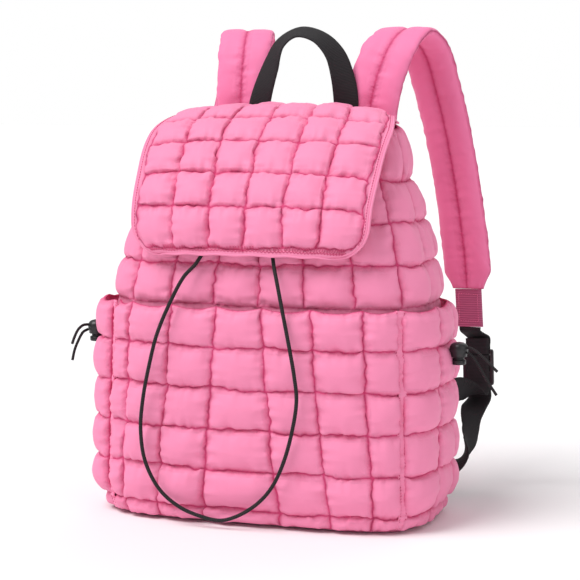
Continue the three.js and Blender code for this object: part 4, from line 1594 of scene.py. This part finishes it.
@dataclass
class StrapHardware:
    """The tab, the webbing and the ladder slider below one strap."""

    bag: Bag
    side: Side
    tab_length: float = 0.04
    tab_width: float = 0.031
    tab_thickness: float = 0.0026
    tape: float = 0.025
    tape_thickness: float = 0.0015
    width: float = 0.033
    length: float = 0.038
    slot: float = 0.008
    slot_half: float = 0.0132
    upper_slot: float = -0.015
    lower_slot: float = -0.003
    reach: float = 0.1

    def __post_init__(self) -> None:
        """Works out where the pieces meet, for the right side."""
        end = STRAP_ROOT + Vector((0.87, 1.045, -1.95)) * STRAP_REACH
        self.top = end - Vector((0.0, 0.0, GAP))
        self.run = Vector((0.05, 0.035, -1.0)).normalized()
        self.bottom = self.top + self.run * self.tab_length
        self.centre = self.bottom + Vector((0.008, 0.007, -0.044))
        turn = math.radians(13)
        self.tab_across = Vector((math.cos(turn), -math.sin(turn), 0.0))
        self.across = Vector((1.0, -0.05, 0.05)).normalized()
        down = Vector((-0.12, -0.06, -1.0))
        self.down = (down - self.across * down.dot(self.across)).normalized()
        self.out = self.across.cross(self.down)

    def at(self, across: float, down: float, out: float) -> Vector:
        """A point in the slider's own frame, in metres."""
        return self.centre + self.across * across + self.down * down + self.out * out

    def placed(self, rows: Rows) -> list[tuple[Vector, Vector]]:
        """The rows on this side of the bag."""
        if self.side is Side.RIGHT:
            return list(rows)
        flip = Vector((-1.0, 1.0, 1.0))
        return [(point * flip, across * flip) for point, across in rows]

    def fold(self, edge: float, way: int) -> list[tuple[Vector, Vector]]:
        """The webbing's turn round a bar, down one face and up the other."""
        level, bend = 0.0031, 0.0016
        middle = edge + way * 0.0011
        corner = []
        for k in range(5):
            angle = math.pi / 2 * k / 4
            corner.append((middle - way * bend * (1 - math.sin(angle)), level - bend * (1 - math.cos(angle))))
        both = corner + [(down, -out) for down, out in reversed(corner)]
        return [(self.at(0, down, out), self.across) for down, out in both]

    def build(self) -> None:
        """Makes the tab, both runs of webbing and the slider."""
        self.make_tab()
        self.make_upper()
        self.make_lower()
        self.make_slider()

    def ribbon(self, name: str, rows: Rows, width: float, thick: float, step: float = 0.0008) -> Piece:
        """A strip through rows on this side.

        Args:
            name: The piece's name, without its side.
            rows: The points that it passes, each with the way across.
            width: Its width.
            thick: Its thickness.
            step: The length of its faces.

        Returns:
            The piece.
        """
        rows = self.placed(rows)
        fine = fine_points([row[0] for row in rows])
        points, across = spline_frames(rows, max(12, round(length_of(fine) / step)))
        return ribbon_piece(f"{name} {self.side.word}", points, across, width, thick)

    def make_tab(self) -> None:
        """Makes the ribbed tab with its sewn box."""
        rows = [(self.top + self.run * self.tab_length * k / 4, self.tab_across) for k in range(5)]
        piece = self.ribbon("ribbed tab", rows, self.tab_width, self.tab_thickness, 0.001)
        PINK_TAPE.dress(piece)
        self.bag.keep(piece, f"strap_tab_{self.side.word}")
        out = self.tab_across.cross(self.run).normalized()
        corners = [(-0.011, 0.005), (0.011, 0.005), (0.011, 0.034), (-0.011, 0.034), (-0.011, 0.005)]
        stitches = []
        for (x0, s0), (x1, s1) in zip(corners, corners[1:]):
            count = round(math.hypot(x1 - x0, s1 - s0) / 0.0026)
            for k in range(count):
                ends = []
                for part in (k / count, (k + 0.68) / count):
                    x, s = mix(x0, x1, part), mix(s0, s1, part)
                    ends.append(self.top + self.tab_across * x + self.run * s)
                for way in (-1, 1):
                    shift = out * way * (self.tab_thickness / 2 + 0.0001)
                    rows = self.placed([(ends[0] + shift, out), (ends[1] + shift, out)])
                    stitches.append((rows[0][0], rows[1][0]))
        thread = stitch_piece(f"tab stitches {self.side.word}", stitches, 0.0006)
        PINK_THREAD.dress(thread)
        self.bag.keep(thread)

    def make_upper(self) -> None:
        """Makes the webbing from the tab to the slider's upper bar."""
        rows = [
            (self.bottom + self.run * GAP, self.tab_across),
            (self.bottom + self.run * 0.004, self.tab_across),
            (self.at(0, -0.03, 0.0037), self.across),
            (self.at(0, -0.023, 0.0031), self.across),
            *self.fold(self.upper_slot, 1),
            (self.at(0, -0.023, -0.0031), self.across),
            (self.at(0, -0.031, -0.0037), self.across),
        ]
        piece = self.ribbon("upper tape", rows, self.tape, self.tape_thickness)
        BLACK_TAPE.dress(piece)
        self.bag.keep(piece, f"upper_webbing_{self.side.word}")

    def make_lower(self) -> None:
        """Makes the webbing from the bag's corner through the slider to its loose end."""
        anchor = BODY.point(0.385, 0.024, 0.0045)
        up = Vector((0.0, 0.0, 1.0))
        run = (
            (0.772, 0.19, 0.27, (-0.05, 0.12, 1.0)),
            (0.911, 0.31, 0.3, (-0.2, 0.5, 0.8)),
            (1.0, 0.44, 0.37, (-0.3, 0.9, 0.15)),
            (1.019, 0.62, 0.5, (0.14, 0.99, 0.0)),
            (1.013, 0.78, 0.62, (0.35, 0.93, 0.0)),
            (1.0, 0.92, 0.78, (0.7, 0.7, 0.0)),
        )
        loose = ((0.937, 0.82, 1.04), (0.911, 0.6, 1.04), (0.892, 0.4, 1.01), (0.873, 0.2, 0.97))
        loose_across = Vector((-0.1, -0.1, 1.0)).normalized()
        rows = [
            (anchor + Vector((-0.016, 0.0032, 0.0)), up),
            (anchor, up),
            *((self.lower_place(*place[:3]), Vector(place[3]).normalized()) for place in run),
            (self.at(0, 0.032, 0.0036), self.across),
            (self.at(0, 0.024, 0.0031), self.across),
            *self.fold(self.upper_slot + 0.0036, -1),
            (self.at(0, 0.021, -0.0031), self.across),
            (self.at(0, 0.027, -0.0081), self.across),
            *((self.lower_place(*place), loose_across) for place in loose),
        ]
        piece = self.ribbon("lower tape", rows, self.tape, self.tape_thickness)
        BLACK_TAPE.dress(piece)
        self.bag.keep(piece, f"lower_webbing_{self.side.word}")

    def lower_place(self, out: float, back: float, up: float) -> Vector:
        """A point of the lower webbing by its shares."""
        return Vector((BODY.half_width * out, BODY.half_depth + self.reach * back, self.reach * up))

    def make_slider(self) -> None:
        """Makes the ladder slider: a plate with two slots and softened edges."""
        half_w, half_l = self.width / 2, self.length / 2
        xs = [-half_w, -half_w + 0.0018, -self.slot_half, self.slot_half, half_w - 0.0018, half_w]
        ys = [
            -half_l,
            self.upper_slot,
            self.upper_slot + self.slot,
            self.lower_slot,
            self.lower_slot + self.slot,
            half_l,
        ]
        shape = bmesh.new()
        bmesh.ops.create_grid(shape, x_segments=5, y_segments=5, size=0.5)
        slots = []
        for face in shape.faces:
            middle = face.calc_center_median()
            column, row = int((middle.x + 0.5) * 5), int((middle.y + 0.5) * 5)
            if column == 2 and row in (1, 3):
                slots.append(face)
        bmesh.ops.delete(shape, geom=slots, context="FACES")
        for vert in shape.verts:
            vert.co = Vector((xs[round((vert.co.x + 0.5) * 5)], ys[round((vert.co.y + 0.5) * 5)], -0.002))
        raised = bmesh.ops.extrude_face_region(shape, geom=shape.faces[:])
        top = [item for item in raised["geom"] if isinstance(item, bmesh.types.BMVert)]
        bmesh.ops.translate(shape, vec=(0, 0, 0.004), verts=top)
        bmesh.ops.recalc_face_normals(shape, faces=shape.faces)
        corners = [
            edge
            for edge in shape.edges
            if abs(edge.verts[0].co.z - edge.verts[1].co.z) > 0.003
            and abs(abs(edge.verts[0].co.x) - half_w) < 1e-5
            and abs(abs(edge.verts[0].co.y) - half_l) < 1e-5
        ]
        bmesh.ops.bevel(
            shape,
            geom=corners,
            offset=0.0035,
            offset_type="OFFSET",
            segments=6,
            profile=0.5,
            affect="EDGES",
            material=-1,
        )
        flat = [edge for edge in shape.edges if edge.is_manifold and edge.calc_face_angle(0) < 0.01]
        bmesh.ops.dissolve_edges(shape, edges=flat, use_verts=False)
        grid = Matrix((self.across, self.down, self.out)).transposed().to_4x4()
        frame = Matrix.Translation(self.centre) @ grid
        if self.side is Side.LEFT:
            frame = Matrix.Diagonal((-1, 1, 1, 1)) @ frame
        bmesh.ops.transform(shape, matrix=frame, verts=shape.verts)
        bmesh.ops.recalc_face_normals(shape, faces=shape.faces)
        piece = new_object(f"ladder slider {self.side.word}", shape)
        soften(piece, 0.0009, 3, 35)
        BLACK_PLASTIC.dress(piece)
        self.bag.keep(piece, f"strap_slider_{self.side.word}")


@dataclass
class HaulHandle:
    """The webbing loop at the top of the back.

    A row holds the share across, the share up, the millimetres back and the turn in degrees.
    """

    bag: Bag
    width: float = 0.025
    thickness: float = 0.0019
    half_span: float = 0.047
    rise: float = 0.087
    foot: Triple = (0.0, 0.0792, 0.387)
    count: int = 240
    rows: tuple[tuple[float, float, float, float], ...] = (
        (-1, -0.4, 0, 0),
        (-1, -0.13, 0, 0),
        (-1, -0.03, -0.4, 0),
        (-0.93, 0.2, -3, 10),
        (-0.68, 0.58, -6, 30),
        (-0.45, 0.86, -6, 52),
        (-0.05, 0.99, -5, 64),
        (0.42, 0.93, -5, 64),
        (0.78, 0.74, -6, 52),
        (0.96, 0.48, -6.5, 36),
        (1.02, 0.22, -4, 17),
        (1, -0.03, -0.4, 0),
        (1, -0.13, 0, 0),
        (1, -0.4, 0, 0),
    )

    def build(self) -> None:
        """Makes the loop."""
        foot, back = Vector(self.foot), Vector((0.0, 1.0, 0.0))
        points = [
            foot + Vector((self.half_span * x, off / 1000, self.rise * up)) for x, up, off, _ in self.rows
        ]
        rows = []
        for k, point in enumerate(points):
            flat = run_at(points, k).cross(back).normalized()
            turn = math.radians(self.rows[k][3])
            rows.append((point, flat * math.cos(turn) + back * math.sin(turn)))
        line, across = spline_frames(rows, self.count)
        piece = ribbon_piece("webbing handle", line, across, self.width, self.thickness)
        BLACK_TAPE.dress(piece)
        self.bag.keep(piece, "haul_handle")


@dataclass
class CordLock:
    """A side pocket's two-part cord lock, with its sprung plunger."""

    bag: Bag
    side: Side
    centre: Vector
    barrel: Profile = (
        (0.0, 0.007),
        (0.0028, 0.0068),
        (0.0052, 0.0062),
        (0.0073, 0.0049),
        (0.0086, 0.0028),
        (0.009, 0.0004),
        (0.0088, -0.0018),
        (0.0081, -0.0032),
        (0.0079, -0.007),
        (0.0061, -0.007),
        (0.0061, 0.0046),
        (0.0, 0.0046),
    )
    plunger: Profile = (
        (0.0, 0.0015),
        (0.0046, 0.0015),
        (0.0052, 0.0009),
        (0.0052, -0.0098),
        (0.0066, -0.0099),
        (0.007, -0.0105),
        (0.007, -0.0138),
        (0.0063, -0.0146),
        (0.0, -0.0148),
    )

    def build(self) -> None:
        """Makes both halves."""
        up = Vector((0.0, 0.0, 1.0))
        word = self.side.word
        for name, profile, body in (
            ("barrel", self.barrel, "bag"),
            ("plunger", self.plunger, f"plunger_{word}"),
        ):
            piece = turned_piece(f"lock {name} {word}", profile, self.centre, up)
            BLACK_PLASTIC.dress(piece)
            self.bag.keep(piece, f"cord_lock_{name}_{word}", body=body)


@dataclass
class SmallTrim:
    """The eyelets and snaps at the gathered mouth."""

    bag: Bag
    eyelet: Profile = (
        (0.0022, 0.0),
        (0.0022, 0.0012),
        (0.003, 0.0019),
        (0.0041, 0.0017),
        (0.0049, 0.0008),
        (0.005, 0.0),
    )
    snap: Profile = (
        (0.0, 0.0017),
        (0.0014, 0.0018),
        (0.002, 0.0022),
        (0.0031, 0.0021),
        (0.0038, 0.0014),
        (0.004, 0.0),
        (0.0, 0.0),
    )

    def build(self) -> None:
        """Makes an eyelet and a snap on each side."""
        for side in Side:
            for word, name, profile, finish, way in (
                ("drawcord_eyelet", "eyelet ring", self.eyelet, BLACK_PLASTIC, (0.0, -0.95, 0.35)),
                ("side_snap", "snap cap", self.snap, PINK_PLASTIC, (side.value * 0.72, -0.6, 0.35)),
            ):
                node = f"{word}_{side.word}"
                low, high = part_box(node)
                middle = (Vector(low) + Vector(high)) / 2
                out = Vector(way).normalized()
                piece = turned_piece(f"{name} {side.word}", profile, middle - out * 0.001, out, 28)
                finish.dress(piece)
                self.bag.keep(piece, node)


# Cords, floor, light and camera

DRAWCORD_ROUTE = (
    (-0.0095, -0.0567, 0.313),
    (-0.0099, -0.0604, 0.3142),
    (-0.0114, -0.0644, 0.3124),
    (-0.0138, -0.0678, 0.3065),
    (-0.0175, -0.0712, 0.298),
    (-0.024, -0.0755, 0.286),
    (-0.034, -0.078, 0.274),
    (-0.043, -0.0815, 0.262),
    (-0.05, -0.086, 0.25),
    (-0.059, -0.092, 0.239),
    (-0.072, -0.0985, 0.212),
    (-0.084, -0.1005, 0.183),
    (-0.092, -0.1, 0.1545),
    (-0.099, -0.0995, 0.122),
    (-0.102, -0.099, 0.091),
    (-0.097, -0.1, 0.0605),
    (-0.082, -0.1, 0.034),
    (-0.062, -0.099, 0.0185),
    (-0.041, -0.098, 0.011),
    (-0.022, -0.098, 0.0084),
    (-0.007, -0.0985, 0.0125),
    (0.015, -0.1, 0.026),
    (0.031, -0.1015, 0.043),
    (0.043, -0.102, 0.0665),
    (0.052, -0.102, 0.097),
    (0.057, -0.1025, 0.128),
    (0.055, -0.103, 0.1505),
    (0.05, -0.103, 0.178),
    (0.042, -0.1, 0.212),
    (0.034, -0.093, 0.239),
    (0.0295, -0.087, 0.25),
    (0.026, -0.082, 0.262),
    (0.022, -0.078, 0.274),
    (0.0175, -0.0755, 0.286),
    (0.0138, -0.0712, 0.298),
    (0.0116, -0.0674, 0.306),
    (0.0103, -0.0636, 0.3116),
    (0.0097, -0.059, 0.3133),
    (0.0095, -0.055, 0.312),
)
POCKET_CORD_ROUTES = {
    "right_upper": (
        (0.1926, 0.0045, 0.1702),
        (0.1981, 0.003, 0.1688),
        (0.2061, 0.001, 0.1638),
        (0.2141, -0.001, 0.1573),
        (0.2231, -0.002, 0.1493),
    ),
    "right_lower": (
        (0.1926, 0.0045, 0.1654),
        (0.1981, 0.003, 0.1613),
        (0.2056, 0.0015, 0.1513),
        (0.2136, 0, 0.1388),
        (0.2226, -0.002, 0.1268),
    ),
    "left_upper": (
        (-0.1923, -0.0246, 0.18),
        (-0.1951, -0.0302, 0.1798),
        (-0.1971, -0.0372, 0.1763),
        (-0.1976, -0.0442, 0.1703),
        (-0.1971, -0.0512, 0.1638),
    ),
    "left_lower": (
        (-0.1923, -0.0246, 0.1752),
        (-0.1956, -0.0292, 0.1728),
        (-0.1986, -0.0342, 0.1648),
        (-0.2006, -0.0392, 0.1553),
        (-0.2011, -0.0432, 0.1458),
    ),
}


@dataclass
class Cords:
    """The drawcord and the side pockets' cord ends, on the routes that the solids have."""

    bag: Bag
    thick: float = 0.0036
    thin: float = 0.0028
    step: float = 0.0014
    sides: int = 14

    def make(self, node: str, route: Sequence[Triple], diameter: float) -> None:
        """Makes one cord.

        Args:
            node: The CAD node that it stands for.
            route: The points that it follows.
            diameter: Its diameter.
        """
        rows = [Vector(point) for point in route]
        fine = fine_points(rows)
        length = length_of(fine)
        line = even_points(fine, max(30, round(length / self.step)))
        piece = tube_piece(f"{node} braid", line, diameter, self.sides)
        BLACK_BRAID.dress(piece)
        self.bag.keep(piece, node)

    def build(self) -> None:
        """Makes the drawcord and the four short ends."""
        self.make("drawcord", DRAWCORD_ROUTE, self.thick)
        for word, route in POCKET_CORD_ROUTES.items():
            self.make(f"pocket_cord_{word}", route, self.thin)


@dataclass
class Studio:
    """The photograph's camera, a plain pale floor and soft light."""

    lens: float = 1750 / 580 * 36
    place: Triple = (0.579, -1.611, 0.399)
    turn: float = 19.3
    pitch: float = -6.0
    floor_colour: Triple = (0.9, 0.895, 0.9)
    sky: float = 0.42
    suns: tuple[tuple[str, Triple, float, float], ...] = (
        ("key", (0.42, 0.4, -0.86), 2.5, 38),
        ("side", (-0.81, 0.34, -0.47), 0.38, 50),
        ("behind", (-0.04, -0.73, -0.69), 0.5, 50),
    )

    def camera(self) -> None:
        """Makes the camera at the photograph's viewing angle."""
        data = bpy.data.cameras.new("camera")
        data.lens = self.lens
        data.sensor_width = 36
        data.sensor_fit = "HORIZONTAL"
        data.clip_end = 50
        camera = bpy.data.objects.new("camera", data)
        camera.location = self.place
        camera.rotation_euler = (math.radians(90 + self.pitch), 0.0, math.radians(self.turn))
        bpy.context.collection.objects.link(camera)
        bpy.context.scene.camera = camera

    def sun(self, name: str, way: Triple, strength: float, spread: float) -> None:
        """Adds one soft sun, which lights the whole floor evenly.

        Args:
            name: Its name.
            way: The direction that its light travels.
            strength: Its strength.
            spread: How wide it is, in degrees: more makes softer shadows.
        """
        data = bpy.data.lights.new(name, "SUN")
        data.energy = strength
        data.angle = math.radians(spread)
        sun = bpy.data.objects.new(name, data)
        sun.rotation_euler = Vector(way).to_track_quat("-Z", "Y").to_euler()
        bpy.context.collection.objects.link(sun)

    def build(self) -> None:
        """Makes the floor, the suns and the even light around."""
        shape = bmesh.new()
        bmesh.ops.create_grid(shape, x_segments=1, y_segments=1, size=30.0)
        floor = new_object("floor", shape)
        material = bpy.data.materials.new("pale floor")
        shader = shader_of(material)
        shader.inputs["Base Color"].default_value = (*self.floor_colour, 1.0)
        shader.inputs["Roughness"].default_value = 0.8
        floor.data.materials.append(material)
        for sun in self.suns:
            self.sun(*sun)
        world = bpy.data.worlds.new("soft light")
        world.use_nodes = True
        tree = world.node_tree
        even = tree.nodes["Background"]
        even.inputs["Color"].default_value = (1.0, 1.0, 1.0, 1.0)
        even.inputs["Strength"].default_value = self.sky
        plain = tree.nodes.new("ShaderNodeBackground")
        plain.inputs["Color"].default_value = (1.0, 1.0, 1.0, 1.0)
        both = tree.nodes.new("ShaderNodeMixShader")
        tree.links.new(tree.nodes.new("ShaderNodeLightPath").outputs["Is Camera Ray"], both.inputs[0])
        tree.links.new(even.outputs[0], both.inputs[1])
        tree.links.new(plain.outputs[0], both.inputs[2])
        tree.links.new(both.outputs[0], tree.nodes["World Output"].inputs["Surface"])
        bpy.context.scene.world = world
        bpy.context.scene.view_settings.view_transform = "Standard"


def lock_centres() -> dict[Side, Vector]:
    """The middle of each lock's barrel."""
    centres = {}
    for side in Side:
        low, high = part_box(f"cord_lock_barrel_{side.word}")
        centres[side] = (Vector(low) + Vector(high)) / 2
    return centres


def main() -> None:
    """Builds the whole scene in order."""
    logging.basicConfig(level=logging.INFO, format="%(name)s: %(message)s")
    noise.seed_set(WANDER_SEED)
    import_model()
    studio = Studio()
    studio.camera()
    bag = Bag()
    Cords(bag).build()
    sewn: list[tuple[BagBody | Pocket | Flap | Strap, Piece]] = []
    parts = [BagBody(bag), *all_pockets(bag), Flap(bag), *(Strap(bag, side) for side in Side)]
    for part in parts:
        sewn.append((part, part.build()))
    bag.puffing.run()
    for part, piece in sewn:
        part.finish(piece)
    for side in Side:
        CornerStrip(bag, side).build()
        StrapHardware(bag, side).build()
        CordLock(bag, side, lock_centres()[side]).build()
    HaulHandle(bag).build()
    SmallTrim(bag).build()
    studio.build()
    log.info("all pieces are in place")


if __name__ == "__main__":
    main()
